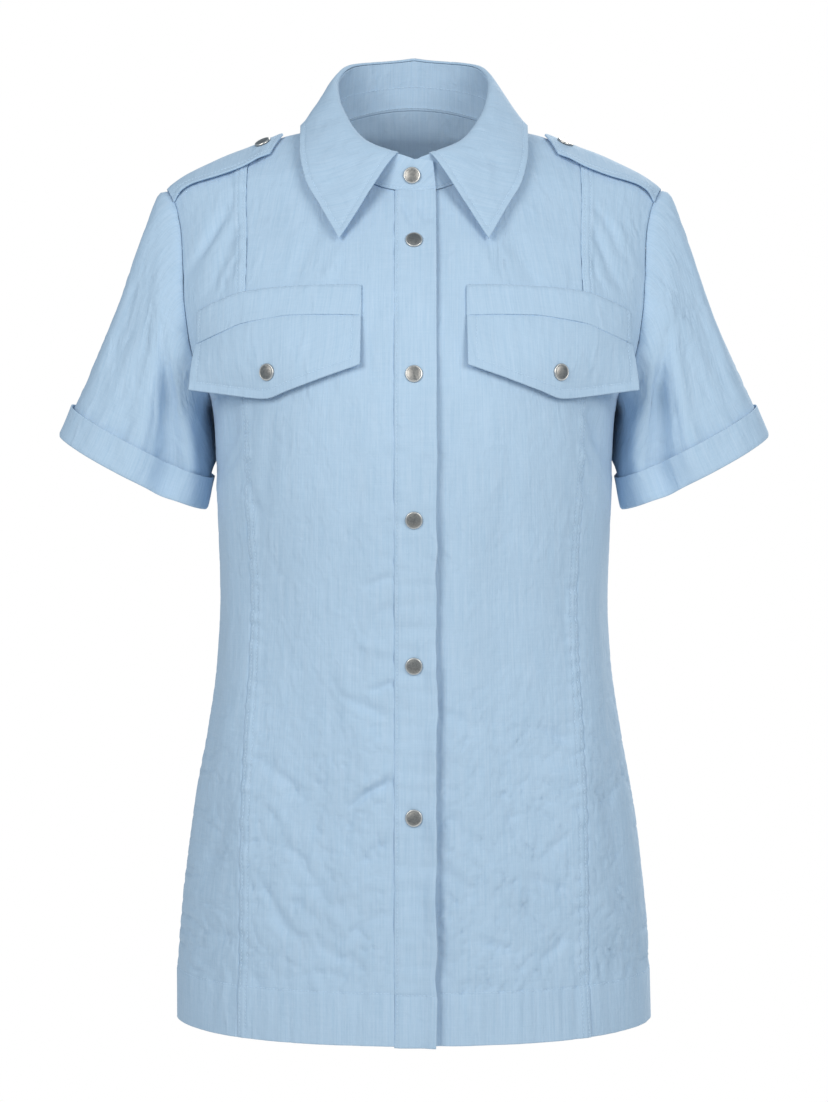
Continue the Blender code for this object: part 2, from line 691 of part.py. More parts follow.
def strip_grid(left, right, offsets, low_rows=17, high_rows=7, hem=HEM):
    """A long band on the front opening between two widths, with its own lift in each column."""
    widths = np.linspace(left, right, len(offsets)) if np.isscalar(left) else left
    columns = []
    for x in widths:
        columns.append(column(-1, lambda z, x=x: x, low_rows, high_rows, hem))
    grid = np.stack(columns, axis=1)
    up = grid[-1] - grid[-2]
    grid[-1] -= up / np.linalg.norm(up, axis=1, keepdims=True) * np.array(offsets)[:, None] * 0.8
    return grid + normals(grid) * np.array(offsets)[None, :, None]


def main():
    clear_scene()
    cloth = material("sky_blue_cotton", (0.42, 0.60, 0.80), 0.85)
    steel = material("nickel_steel", (0.55, 0.54, 0.52), 0.35, 1.0)

    left_front = lapped(folded(front_panel(UNDER_SEAM + GAP), -1), UNDER_SEAM, -1)
    right_front = folded(mirrored(front_panel(-OVER_SEAM + GAP)), -1)
    sheet("left_front", left_front, cloth)
    sheet("right_front", right_front, cloth)
    sheet("left_side_front", folded(side_panel(), -1), cloth)
    sheet("right_side_front", folded(mirrored(side_panel()), -1), cloth)
    sheet("back", folded(back_panel(), 1), cloth)

    under = strip_grid(UNDER_EDGE, UNDER_SEAM, [-LAP] * 3)
    widths = [OVER_SEAM, OVER_SEAM + 0.0029, 0.0012, OVER_EDGE]
    over = strip_grid(widths, None, [0, LAP, LAP, LAP], hem=HEM - 0.001)
    sheet("left_placket", under, cloth)
    sheet("right_placket", over, cloth)

    sleeve = sleeve_grid(30, shares=np.linspace(0, 1, 12))
    rise = np.linspace(-0.0004, CUFF_HEIGHT, 4)
    cuff = sleeve_grid(30, heights=rise, lift=LAYER + GAP + CUFF_FLARE * np.array((0, 0.2, 0.5, 1)))
    for name, hand in SIDES:
        for part, grid in (("sleeve", sleeve), ("cuff", cuff)):
            shown = grid if hand > 0 else mirrored(grid)
            sheet(f"{name}_{part}", shown, cloth, closed=True)

    stand = stand_grid()
    sheet("collar_stand", stand, cloth)
    sheet("collar_leaf", leaf_grid(), cloth, DOUBLE)

    lift = (CLOTH + DOUBLE) / 2 + 1.6 * GAP
    band = pocket_grid(1, 2, lift, lift, 2)
    flap = pocket_grid(2, 3, lift, lift + FLAP_LIFT, 4)
    flap[-1] = band[0] - np.array((0, 0, 1.6 * GAP))
    tab = tab_grid()
    for name, hand in SIDES:
        for part, grid in (("pocket_band", band), ("pocket_flap", flap), ("epaulette", tab)):
            sheet(f"{name}_{part}", grid if hand > 0 else mirrored(grid), cloth, DOUBLE)

    cap = snap_mesh()
    inward = (0, 1, 0)
    for i, z in enumerate(FRONT_SNAPS):
        place_snap(f"front_snap_{i + 2}", cap, steel, over, CLOTH / 2 + GAP, (0, -0.3, z), inward)
    end = stand[:, -12:]
    place_snap("front_snap_1", cap, steel, end, CLOTH / 2 + GAP, (-0.0015, -0.3, STAND_SNAP), inward)
    for name, hand in SIDES:
        x, z = FLAP_SNAP
        shown = flap if hand > 0 else mirrored(flap)
        place_snap(f"{name}_flap_snap", cap, steel, shown, DOUBLE / 2 + 2 * GAP, (hand * x, -0.3, z), inward)
        shown = tab if hand > 0 else mirrored(tab)
        above = (hand * TAB_SNAP[0], TAB_SNAP[1], 0.3)
        place_snap(f"{name}_epaulette_snap", cap, steel, shown, DOUBLE / 2 + GAP, above, (0, 0, -1))


main()
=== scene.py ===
import math

import bpy
import numpy as np
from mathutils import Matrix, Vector
from mathutils.bvhtree import BVHTree


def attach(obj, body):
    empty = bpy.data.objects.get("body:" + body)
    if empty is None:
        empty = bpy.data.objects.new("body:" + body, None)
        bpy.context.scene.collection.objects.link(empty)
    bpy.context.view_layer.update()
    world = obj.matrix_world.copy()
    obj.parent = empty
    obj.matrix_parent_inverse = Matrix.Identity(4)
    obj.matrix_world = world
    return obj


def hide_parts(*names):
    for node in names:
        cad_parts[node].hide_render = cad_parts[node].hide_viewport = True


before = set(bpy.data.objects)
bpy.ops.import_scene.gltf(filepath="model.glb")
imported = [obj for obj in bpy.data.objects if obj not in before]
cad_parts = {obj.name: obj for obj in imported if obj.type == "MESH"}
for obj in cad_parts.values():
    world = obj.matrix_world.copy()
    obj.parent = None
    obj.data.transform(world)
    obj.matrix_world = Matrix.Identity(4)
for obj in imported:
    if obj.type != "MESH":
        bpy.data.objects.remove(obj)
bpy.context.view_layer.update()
print("frame loaded:", len(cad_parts), "nodes")


# small helpers

def easedCurve(rows, column):
    # a smooth curve through a table's rows, this column against the first, with no overshoot
    table = np.array(rows, float)
    at, value = table[:, 0], table[:, column]
    run = np.diff(at)
    slope = np.diff(value) / run
    lean = np.zeros(len(at))
    lean[0], lean[-1] = slope[0], slope[-1]
    for i in range(1, len(at) - 1):
        if slope[i - 1] * slope[i] > 0:
            before, after = 2 * run[i] + run[i - 1], run[i] + 2 * run[i - 1]
            lean[i] = (before + after) / (before / slope[i - 1] + after / slope[i])

    def read(x):
        x = np.clip(x, at[0], at[-1])
        k = np.clip(np.searchsorted(at, x) - 1, 0, len(run) - 1)
        t = (x - at[k]) / run[k]
        ends = value[k] * (1 + 2 * t) * (1 - t) ** 2 + value[k + 1] * t * t * (3 - 2 * t)
        return ends + run[k] * (lean[k] * t * (1 - t) ** 2 + lean[k + 1] * t * t * (t - 1))

    return read


def softStep(low, high, x):
    t = np.clip((x - low) / (high - low), 0, 1)
    return t * t * (3 - 2 * t)


def bell(distance, width):
    return np.exp(-((distance / width) ** 2))


def narrowed(holds, low, high, steps=34):
    # the place between low, where holds is true, and high, where it isn't
    for _ in range(steps):
        middle = (low + high) / 2
        low, high = (middle, high) if holds(middle) else (low, middle)
    return (low + high) / 2


def mirrored(grid):
    return grid[:, ::-1] * np.array((-1, 1, 1))


def forHand(grid, sign):
    # grids are made for the wearer's left, sign 1
    return grid if sign > 0 else mirrored(grid)


def lengthAlong(path):
    # distance of each point from the first
    return np.concatenate([[0], np.cumsum(np.linalg.norm(np.diff(path, axis=0), axis=1))])


def pointsAt(places, along, path):
    return np.stack([np.interp(places, along, path[:, k]) for k in range(3)], axis=1)


def lengthsAcross(grid):
    # distance of each point from the first of its row
    steps = np.linalg.norm(np.diff(grid, axis=1), axis=2)
    return np.concatenate([np.zeros((len(grid), 1)), np.cumsum(steps, axis=1)], axis=1)


def gridFaces(rows, columns):
    index = np.arange(rows * columns).reshape(rows, columns)
    corners = (index[:-1, :-1], index[:-1, 1:], index[1:, 1:], index[1:, :-1])
    return np.stack(corners, axis=-1).reshape(-1, 4)


def bezier(start, first, last, end, steps):
    t = np.linspace(0, 1, steps + 1)[:, None]
    return start * (1 - t) ** 3 + 3 * t * (1 - t) * (first * (1 - t) + last * t) + end * t**3


def facing(grid, closed=False):
    # unit normals of a grid of points, pointing out of the shirt
    along = np.gradient(grid, axis=1)
    if closed:
        along = (np.roll(grid, -1, axis=1) - np.roll(grid, 1, axis=1)) / 2
    normal = np.cross(along, np.gradient(grid, axis=0))
    return normal / np.maximum(np.linalg.norm(normal, axis=2, keepdims=True), 1e-12)


def cloudy(u, v, seed):
    # seeded smooth noise from -1 to 1, about one bump to each unit
    cellU, cellV = np.floor(u).astype(np.int64), np.floor(v).astype(np.int64)
    partU, partV = u - cellU, v - cellV

    def corner(du, dv):
        mixed = ((cellU + du) * 374761393 + (cellV + dv) * 668265263 + seed * 974634777) & 0xFFFFFFFF
        mixed = ((mixed ^ (mixed >> 13)) * 1274126177) & 0xFFFFFFFF
        turn = ((mixed ^ (mixed >> 16)) & 0xFFFF) / 65536 * 2 * math.pi
        return np.cos(turn) * (partU - du) + np.sin(turn) * (partV - dv)

    easeU = partU**3 * (partU * (partU * 6 - 15) + 10)
    easeV = partV**3 * (partV * (partV * 6 - 15) + 10)
    low = corner(0, 0) * (1 - easeU) + corner(1, 0) * easeU
    high = corner(0, 1) * (1 - easeU) + corner(1, 1) * easeU
    return 1.5 * (low * (1 - easeV) + high * easeV)


# body form, the same sizes as the frame's

bodyForm = {
    "seamGap": 0.00003,  # the panels all but touch
    "hem": -0.666,
    "hemRise": 0.003,  # at the side seams
    "underarm": -0.205,
    "tipZ": -0.047,
    "tipX": 0.184,
    "neckWidth": 0.070,
    "neckFront": 0.0745,
    "neckBack": 0.055,
    "armholeFront": 0.053,
    "armholeBack": 0.060,
    "scoop": (0.55, 0.35, 0.55),
    "evenBetween": (-0.185, -0.125),
    "spreadBetween": (-0.300, -0.080),
    # height, half width, front, back, squareness of the front and back
    "rings": (
        (-0.666, 0.1768, 0.1170, 0.1190, 2.00, 2.10),
        (-0.606, 0.1750, 0.1150, 0.1180, 2.05, 2.15),
        (-0.554, 0.1704, 0.1130, 0.1150, 2.15, 2.15),
        (-0.501, 0.1635, 0.1120, 0.1090, 2.15, 2.10),
        (-0.449, 0.1540, 0.1120, 0.1010, 2.15, 2.05),
        (-0.396, 0.1466, 0.1140, 0.0940, 2.20, 2.05),
        (-0.354, 0.1444, 0.1190, 0.0925, 2.20, 2.05),
        (-0.310, 0.1455, 0.1270, 0.0960, 2.25, 2.10),
        (-0.285, 0.1465, 0.1320, 0.0990, 2.25, 2.12),
        (-0.260, 0.1475, 0.1360, 0.1020, 2.25, 2.15),
        (-0.230, 0.1480, 0.1385, 0.1050, 2.25, 2.15),
        (-0.205, 0.1510, 0.1380, 0.1070, 2.20, 2.15),
        (-0.180, 0.1690, 0.1335, 0.1085, 2.15, 2.15),
        (-0.155, 0.1800, 0.1260, 0.1090, 2.05, 2.10),
        (-0.130, 0.1855, 0.1160, 0.1080, 1.95, 2.05),
        (-0.100, 0.1875, 0.1015, 0.1040, 1.80, 2.00),
        (-0.070, 0.1880, 0.0830, 0.0960, 1.65, 2.00),
        (-0.055, 0.1865, 0.0735, 0.0905, 1.60, 2.00),
        (-0.047, 0.1840, 0.0675, 0.0870, 1.60, 2.00),
        (-0.0402, 0.1760, 0.0630, 0.0845, 1.60, 2.00),
        (-0.0310, 0.1600, 0.0555, 0.0810, 1.60, 2.00),
        (-0.0203, 0.1360, 0.0465, 0.0765, 1.60, 2.00),
        (-0.0122, 0.1140, 0.0405, 0.0730, 1.60, 2.00),
        (-0.0034, 0.0870, 0.0330, 0.0690, 1.60, 2.00),
        (0.000, 0.0700, 0.0270, 0.0660, 1.60, 2.00),
        (0.010, 0.0660, 0.0220, 0.0610, 1.60, 2.00),
        (0.024, 0.0600, 0.0160, 0.0545, 1.60, 2.00),
    ),
    # height, distance of the curved seam from the middle
    "curvedSeam": (
        (-0.666, 0.1270),
        (-0.530, 0.1240),
        (-0.450, 0.1205),
        (-0.350, 0.1165),
        (-0.220, 0.1235),
        (-0.100, 0.1210),
        (-0.060, 0.1230),
    ),
}
ringCurves = [easedCurve(bodyForm["rings"], column) for column in range(1, 6)]
halfWidth, frontDepth, backDepth, frontSquare, backSquare = ringCurves
seamX = easedCurve(bodyForm["curvedSeam"], 1)
seamGap = bodyForm["seamGap"]
hem, underarm, tipZ = bodyForm["hem"], bodyForm["underarm"], bodyForm["tipZ"]
neckWidth = bodyForm["neckWidth"]


def bodyY(side, x, z):
    # depth of the body at a width and height, side -1 in front and 1 behind
    depth, power = (frontDepth(z), frontSquare(z)) if side < 0 else (backDepth(z), backSquare(z))
    return side * depth * np.maximum(0, 1 - np.abs(x / halfWidth(z)) ** power) ** (1 / power)


def bodyX(y, z):
    depth, power = (frontDepth(z), frontSquare(z)) if y < 0 else (backDepth(z), backSquare(z))
    return halfWidth(z) * max(0, 1 - abs(y / depth) ** power) ** (1 / power)


def bodyZ(x, y):
    side = -1 if y < 0 else 1
    top = tipZ
    if abs(x) < bodyForm["tipX"]:
        top = narrowed(lambda z: halfWidth(z) > abs(x), tipZ, 0.024)
    return narrowed(lambda z: side * (bodyY(side, x, z) - y) > 0, -0.16, top)


def armholeScoop(upward):
    down = (1 - upward) / 2
    flat, slope, curve = bodyForm["scoop"]
    return flat + slope * down + curve * down * down


def armholePoint(turn, shrink=0.0):
    # on the wearer's left armhole, 0 at the shoulder and a quarter turn at the front
    middle, high = (tipZ + underarm) / 2, (tipZ - underarm) / 2 - shrink
    deep = bodyForm["armholeFront" if math.sin(turn) > 0 else "armholeBack"] - shrink
    y, z = -deep * math.sin(turn) * armholeScoop(math.cos(turn)), middle + high * math.cos(turn)
    return np.array((bodyX(y, z), y, z))


def panelEdgeX(side, z):
    # where a panel ends: side seam, armhole or shoulder tip
    if z <= underarm:
        return float(halfWidth(z))
    if z >= tipZ:
        return bodyForm["tipX"]
    middle, high = (tipZ + underarm) / 2, (tipZ - underarm) / 2
    upward = max(-1, min(1, (z - middle) / high))
    deep = bodyForm["armholeFront" if side < 0 else "armholeBack"]
    y = side * deep * math.sqrt(1 - upward * upward) * armholeScoop(upward)
    return bodyX(y or side * 1e-9, z)


def equalArcX(side, inner, z, share):
    power = float(frontSquare(z) if side < 0 else backSquare(z))
    wide = float(halfWidth(z))
    first = math.asin(min(1, (inner / wide) ** (power / 2)))
    last = math.asin(min(1, (panelEdgeX(side, z) / wide) ** (power / 2)))
    turn = np.linspace(first, last, 33)
    x = wide * np.sin(turn) ** (2 / power)
    along = np.concatenate([[0], np.cumsum(np.hypot(np.diff(x), np.diff(bodyY(side, x, z))))])
    there = float(np.interp(share * (along[-1] - seamGap / 2), along, turn))
    return wide * math.sin(there) ** (2 / power)


def columnX(side, inner, z, share):
    even = float(softStep(*bodyForm["evenBetween"], z))
    width = 0.0
    if even < 1:
        width += (1 - even) * equalArcX(side, inner, z, share)
    if even > 0:
        width += even * (inner + (panelEdgeX(side, z) - seamGap / 2 - inner) * share)
    return width


def necklinePoint(turn):
    side = -1 if math.cos(turn) > 0 else 1
    x = neckWidth * math.sin(turn)
    y = -bodyForm["neckFront" if side < 0 else "neckBack"] * math.cos(turn)
    if side < 0:
        return np.array((x, y, bodyZ(x, y)))
    return np.array((x, y, narrowed(lambda z: bodyY(1, x, z) > y, -0.05, 0.024)))


def columnTop(side, widthAt):
    # height where a column meets the neckline or the shoulder seam
    deep = bodyForm["neckFront" if side < 0 else "neckBack"]

    def below(z):
        x = widthAt(z)
        if abs(x) >= halfWidth(z) or abs(bodyY(side, x, z)) < seamGap:
            return False
        return abs(x) >= neckWidth or (x / neckWidth) ** 2 + (bodyY(side, x, z) / deep) ** 2 > 1

    return narrowed(below, -0.12, 0.024)


def evenSteps(path, count):
    along = lengthAlong(path)
    return pointsAt(np.linspace(0, along[-1], count + 1), along, path)


def panelColumn(side, widthAt, lowRows, highRows, bottom=hem):
    def point(z):
        x = widthAt(z)
        return (x, float(bodyY(side, x, z)), z)

    top = columnTop(side, widthAt)
    start = bottom + bodyForm["hemRise"] * (abs(widthAt(bottom)) / float(halfWidth(bottom))) ** 6
    low = np.array([point(z) for z in np.linspace(start, underarm, 60)])
    share = (1 - np.cos(np.linspace(0, math.pi, 70))) / 2
    high = np.array([point(underarm + (top - underarm) * s) for s in share])
    return np.concatenate([evenSteps(low, lowRows), evenSteps(high, highRows)[1:]])


def necklineShares(edge, outer, neckColumns, shoulderColumns):
    corner = (neckWidth - edge) / (outer - edge)
    turns = np.linspace(math.asin(edge / neckWidth), math.pi / 2, neckColumns + 1)
    neck = (neckWidth * np.sin(turns) - edge) / (outer - edge)
    high = np.concatenate([neck, np.linspace(corner, 1, shoulderColumns + 1)[1:]])
    return list(zip(np.linspace(0, 1, len(high)), high))


# fine cloth: grids with extra lines where there is sewing, and what moves them

fineCloth = {
    "step": 0.0023,  # of the grids
    "bodyStep": 0.0020,
    "backStep": 0.0028,
    "smallStep": 0.0022,
    "single": 0.0008,  # thickness of one ply
    "double": 0.0013,  # two plies and interfacing
    "edgeLines": (0.0, 0.0006, 0.0014),  # grid lines beside a plain edge
    "twinLines": (0.0, 0.0006, 0.0014, 0.0023, 0.0031, 0.0042, 0.0053, 0.0062, 0.0070, 0.0078, 0.0090),
    "twinRows": (0.0023, 0.0070),  # where a seam's two rows of topstitching run
    "hemBand": 0.037,
    "hemLines": (0.0, 0.0008, 0.002, 0.0352, 0.0362, 0.0370, 0.0378, 0.0388),
}


def spaced(grid, fromStart, fromEnd, step):
    # the grid again, its columns at those distances from each side and evenly between
    along = lengthsAcross(grid)
    fromStart, fromEnd = np.array(fromStart), np.array(fromEnd)
    between = max(2, round((along[:, -1].mean() - fromStart[-1] - fromEnd[-1]) / step))
    out = []
    for points, at in zip(grid, along):
        middle = np.linspace(fromStart[-1], at[-1] - fromEnd[-1], between + 1)[1:-1]
        places = np.concatenate([fromStart, middle, at[-1] - fromEnd[::-1]])
        out.append(pointsAt(places, at, points))
    return np.array(out)


def turned(grid):
    return grid.transpose(1, 0, 2)


def asCloth(grid, left, right, bottom, top, step, closed=False):
    # a fine grid, with every point's distance from each edge of its piece
    grid = spaced(grid, left, right, step)
    grid = turned(spaced(turned(grid), bottom, top, step))
    fromLeft, fromHem = lengthsAcross(grid), lengthsAcross(turned(grid)).T
    normal = facing(grid)
    if closed:
        normal[:, 0] = normal[:, -1] = (normal[:, 0] + normal[:, -1]) / 2
    return {
        "points": grid,
        "normal": normal,
        "fromLeft": fromLeft,
        "fromRight": fromLeft[:, -1:] - fromLeft,
        "fromHem": fromHem,
        "fromTop": fromHem[-1:] - fromHem,
        "moved": np.zeros(grid.shape[:2]),
    }


def uneven(u, v, sizes, seed):
    # gentle bumps and hollows: their depth, width and height
    depth, wide, tall = sizes
    return depth * cloudy(u / wide, v / tall, seed)


def creaseDepth(creases, across, along, reach=1.0):
    # soft troughs and ridges along lines: ends, width, depth
    moved = np.zeros(np.shape(across))
    for a0, b0, a1, b1, width, depth in creases:
        run = np.array((a1 - a0, (b1 - b0) * reach))
        length = np.linalg.norm(run)
        off = np.stack([across - a0, (along - b0) * reach], axis=-1)
        share = (off @ run) / length**2
        away = np.abs(off[..., 0] * run[1] - off[..., 1] * run[0]) / length
        ends = softStep(-0.15, 0.25, share) * (1 - softStep(0.75, 1.15, share))
        moved += depth * ends * bell(away, width)
    return moved


def handCreases(rows, across, along):
    # creases in millimetres, bent a little so that none is straight
    bentA = across * 1000 + 2.5 * cloudy(across * 45, along * 45, 31)
    bentB = along * 1000 + 2.5 * cloudy(across * 45, along * 45, 32)
    return 2.1 * creaseDepth(rows, bentA, bentB) / 1000


def crushed(u, v, wide, tall, depth, seed, lean=0.0, sharp=0.16):
    # fine crush lines of washed cotton: thin dents where a stretched noise passes zero
    u, v = u * math.cos(lean) + v * math.sin(lean), v * math.cos(lean) - u * math.sin(lean)
    bent = u + 0.35 * wide * cloudy(u / wide / 2, v / tall * 2, seed + 5)
    line = np.abs(cloudy(bent / wide, v / tall, seed))
    strength = softStep(-0.35, 0.5, cloudy(u / wide / 1.7, v / tall / 0.8, seed + 9))
    return -depth * np.clip(1 - line / sharp, 0, 1) ** 1.5 * strength


def nearestSide(cloth):
    return np.minimum(cloth["fromLeft"], cloth["fromRight"])


def sideSeams(cloth, depth):
    return seamEdge(cloth["fromLeft"], depth) + seamEdge(cloth["fromRight"], depth)


def groove(distance, rows, depth=0.0004, width=0.0008):
    moved = np.zeros(np.shape(distance))
    for row in rows:
        moved -= depth * bell(distance - row, width)
    return moved


def seamEdge(distance, depth=0.0006, width=0.0008):
    return -depth * bell(distance, width)


def feltBand(distance, reach, lift=0.0005):
    # the allowance under a topstitched edge stands up a little
    return lift * (1 - softStep(reach - 0.0005, reach + 0.0022, distance))


def puckers(distance, along, reach, size, depth, seed):
    # short ripples across a row of stitches, dying out beyond reach
    ripple = cloudy(along / size, distance / 0.016 + 3.3, seed)
    ripple = ripple + 0.45 * cloudy(along / size * 2.1, distance / 0.012, seed + 1)
    return depth * ripple * (1 - softStep(reach * 0.6, reach * 2.2, distance))


# materials

def linear(hexColour):
    # an sRGB hex colour as Blender's linear numbers
    parts = [int(hexColour[i : i + 2], 16) / 255 for i in (1, 3, 5)]
    return tuple(p / 12.92 if p <= 0.04045 else ((p + 0.055) / 1.055) ** 2.4 for p in parts) + (1.0,)


def addNode(tree, kind, settings=None, links=None):
    # settings are the node's own fields or its sockets' values; links come from other nodes' outputs
    node = tree.nodes.new("ShaderNode" + kind)
    for key, value in (settings or {}).items():
        if isinstance(key, str) and hasattr(node, key):
            setattr(node, key, value)
        else:
            node.inputs[key].default_value = value
    for key, source in (links or {}).items():
        tree.links.new(source, node.inputs[key])
    return node


def twoColours(tree, source, dark, pale, low=0.0, high=1.0):
    ramp = addNode(tree, "ValToRGB", links={"Fac": source})
    for stop, colour, place in zip(ramp.color_ramp.elements, (dark, pale), (low, high)):
        stop.color = linear(colour)
        stop.position = place
    return ramp


def newMaterial(name):
    material = bpy.data.materials.new(name)
    material.use_nodes = True
    tree = material.node_tree
    return material, tree, tree.nodes["Principled BSDF"]


# Plain-weave cotton, yarn dyed, then washed and crushed dry. It gives the eye a matt pale blue,
# drier and lighter yarns running down, and a soft bloom where it turns away.
cottonLook = {
    "yarn": "#B0CAE4",
    "paleYarn": "#B6CEE7",
    "deepYarn": "#A9C5E0",
    "roughness": 0.9,
    "sheen": 0.25,
    "warpWide": 1.2,  # mm; real yarns are about 0.25 apart, drawn coarser to show
    "warpLong": 42,
    "weftWide": 0.9,
    "weftLong": 22,
    "weftShare": 0.32,  # how much the crossing yarns show
    "mottle": 26,
    "crushWide": 7,
    "crushLong": 30,
    # crossing wrinkles left by drying: size in mm, turn, strength, depth
    "wrinkles": ((15, 0.7, 0.50, 0.0012), (6, -0.5, 0.42, 0.0006)),
}


def plainWeaveCotton():
    material, tree, shader = newMaterial("plain_weave_cotton")
    look = cottonLook
    place = addNode(tree, "UVMap", {"uv_map": "cloth"}).outputs["UV"]

    def yarnNoise(wide, tall, detail, rough=0.5):
        # stretched noise, its cells' width and height in millimetres
        size = addNode(tree, "Mapping", {"Scale": (1000 / wide, 1000 / tall, 1)}, {"Vector": place})
        return addNode(
            tree, "TexNoise",
            {"noise_dimensions": "2D", "Scale": 1.0, "Detail": detail, "Roughness": rough},
            {"Vector": size.outputs[0]},
        ).outputs["Fac"]

    warp = yarnNoise(look["warpWide"], look["warpLong"], 4.0, 0.62)
    weft = yarnNoise(look["weftLong"], look["weftWide"], 2.0)
    mottle = yarnNoise(look["mottle"], look["mottle"] * 1.6, 3.0)
    weftShare = addNode(tree, "Math", {"operation": "MULTIPLY", 1: look["weftShare"]}, {0: weft})
    both = addNode(tree, "Math", {"operation": "ADD"}, {0: warp, 1: weftShare.outputs[0]})
    span = {"From Min": 0.41, "From Max": 0.91, "To Min": 0.0, "To Max": 1.0}
    yarns = addNode(tree, "MapRange", span, {"Value": both.outputs[0]})
    ramp = twoColours(tree, yarns.outputs[0], look["deepYarn"], look["paleYarn"])
    middle = ramp.color_ramp.elements.new(0.5)
    middle.color = linear(look["yarn"])
    span = {"From Min": 0.3, "From Max": 0.7, "To Min": 0.985, "To Max": 1.015}
    tint = addNode(tree, "MapRange", span, {"Value": mottle})
    shade = addNode(tree, "VectorMath", {"operation": "SCALE"}, {0: ramp.outputs[0]})
    tree.links.new(tint.outputs[0], shade.inputs["Scale"])
    tree.links.new(shade.outputs[0], shader.inputs["Base Color"])

    fine = addNode(tree, "Bump", {"Strength": 0.05, "Distance": 0.0004}, {"Height": both.outputs[0]})
    crush = yarnNoise(look["crushWide"], look["crushLong"], 4.0, 0.6)
    crushDeep = {"Strength": 0.20, "Distance": 0.0016}
    last = addNode(tree, "Bump", crushDeep, {"Height": crush, "Normal": fine.outputs[0]})
    for size, turn, strength, distance in look["wrinkles"]:
        slanted = {"Rotation": (0, 0, turn), "Scale": (1000 / size, 600 / size, 1)}
        slant = addNode(tree, "Mapping", slanted, {"Vector": place})
        wrinkles = addNode(
            tree, "TexNoise",
            {
                "noise_dimensions": "2D", "noise_type": "RIDGED_MULTIFRACTAL",
                "Scale": 1.0, "Detail": 2.5, "Distortion": 0.6,
            },
            {"Vector": slant.outputs[0]},
        )
        last = addNode(
            tree, "Bump", {"Strength": strength, "Distance": distance},
            {"Height": wrinkles.outputs["Fac"], "Normal": last.outputs[0]},
        )
    tree.links.new(last.outputs[0], shader.inputs["Normal"])
    shader.inputs["Roughness"].default_value = look["roughness"]
    shader.inputs["Sheen Weight"].default_value = look["sheen"]
    shader.inputs["Sheen Roughness"].default_value = 0.5
    shader.inputs["Sheen Tint"].default_value = linear("#E6F0FA")
    shader.inputs["Specular IOR Level"].default_value = 0.25
    return material


# Spun polyester sewing thread, dyed to match: a little paler and shinier than the cotton round it.
def spunThread():
    material, tree, shader = newMaterial("spun_polyester_thread")
    place = addNode(tree, "TexCoord").outputs["Object"]
    twist = addNode(tree, "TexNoise", {"Scale": 2500.0, "Detail": 1.0}, {"Vector": place})
    ramp = twoColours(tree, twist.outputs["Fac"], "#AFCDE9", "#CFE3F5")
    tree.links.new(ramp.outputs[0], shader.inputs["Base Color"])
    shader.inputs["Roughness"].default_value = 0.55
    shader.inputs["Sheen Weight"].default_value = 0.15
    return material


# Pressed brass cap, nickel plated and tumbled: dull grey, its rims painted brighter, partly as rubbed wear
# and partly as a painted highlight standing in for the glint on the rolled rim.
def tumbledNickel():
    material, tree, shader = newMaterial("tumbled_nickel")
    place = addNode(tree, "TexCoord").outputs["Object"]
    cells = {"Scale": 900.0, "Detail": 4.0, "Roughness": 0.65}
    scuffs = addNode(tree, "TexNoise", cells, {"Vector": place}).outputs["Fac"]
    wornAndHighlit = addNode(tree, "Attribute", {"attribute_name": "rim"})
    ramp = twoColours(tree, scuffs, "#848382", "#ACABAA", 0.3, 0.75)
    # the rim is mixed towards pale grey: partly rubbed wear, partly a painted highlight on the rolled rim
    mixed = addNode(tree, "Mix", {"data_type": "RGBA"}, {0: wornAndHighlit.outputs["Fac"], 6: ramp.outputs[0]})
    mixed.inputs[7].default_value = linear("#DBDAD9")
    tree.links.new(mixed.outputs[2], shader.inputs["Base Color"])
    span = {"From Min": 0.3, "From Max": 0.7, "To Min": 0.30, "To Max": 0.48}
    rough = addNode(tree, "MapRange", span, {"Value": scuffs})
    tree.links.new(rough.outputs[0], shader.inputs["Roughness"])
    dents = addNode(tree, "Bump", {"Strength": 0.12, "Distance": 0.0002}, {"Height": scuffs})
    tree.links.new(dents.outputs[0], shader.inputs["Normal"])
    shader.inputs["Metallic"].default_value = 1.0
    return material


cotton, thread, nickel = plainWeaveCotton(), spunThread(), tumbledNickel()
print("materials made")


# making the pieces

made = {}


def newObject(name, verts, faces, material):
    mesh = bpy.data.meshes.new(name)
    mesh.from_pydata(verts, [], faces)
    mesh.shade_smooth()
    mesh.materials.append(material)
    piece = bpy.data.objects.new(name, mesh)
    bpy.context.scene.collection.objects.link(piece)
    return piece


def clothPiece(name, cloth, ply, cut, held, restsOn):
    # the shown cloth of one cut piece, in place of its solid
    points = cloth["points"] + cloth["normal"] * cloth["moved"][..., None]
    cloth["shown"] = points
    cloth["shownNormal"] = facing(points)
    cloth["thickness"] = fineCloth[ply]
    rows, columns = points.shape[:2]
    faces = gridFaces(rows, columns)
    piece = newObject(f"{name}_cloth", points.reshape(-1, 3), faces, cotton)
    layer = piece.data.uv_layers.new(name="cloth")
    # the warp runs up the middle of the piece, or along the front opening
    middle = {"left_front": 0, "right_front": columns - 1}.get(name, columns // 2)
    across = cloth["fromLeft"] - cloth["fromLeft"][:, middle : middle + 1]
    flatPlace = np.stack([across.ravel(), cloth["fromHem"].ravel()], axis=1)
    layer.uv.foreach_set("vector", flatPlace[faces.ravel()].astype(np.float32).ravel())
    wall = piece.modifiers.new("Ply", "SOLIDIFY")
    wall.thickness = fineCloth[ply]
    wall.offset = 0
    wall.use_even_offset = False
    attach(piece, "root")
    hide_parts(name)
    made[name] = {"piece": piece, "cloth": cloth, "cut": cut, "held": held, "restsOn": restsOn}


stitchLook = {
    "pitch": 0.0027,
    "length": 0.0021,
    "radius": 0.00028,
    "high": 0.00018,
    # share of the length, share of the height, share of the radius: both ends dip into the cloth
    "rings": ((0, -0.5, 0.5), (0.3, 1.0, 1.0), (0.7, 1.0, 1.0), (1, -0.5, 0.5)),
    "around": 5,
    "first": 0.0006,  # where a row's first stitch starts
}


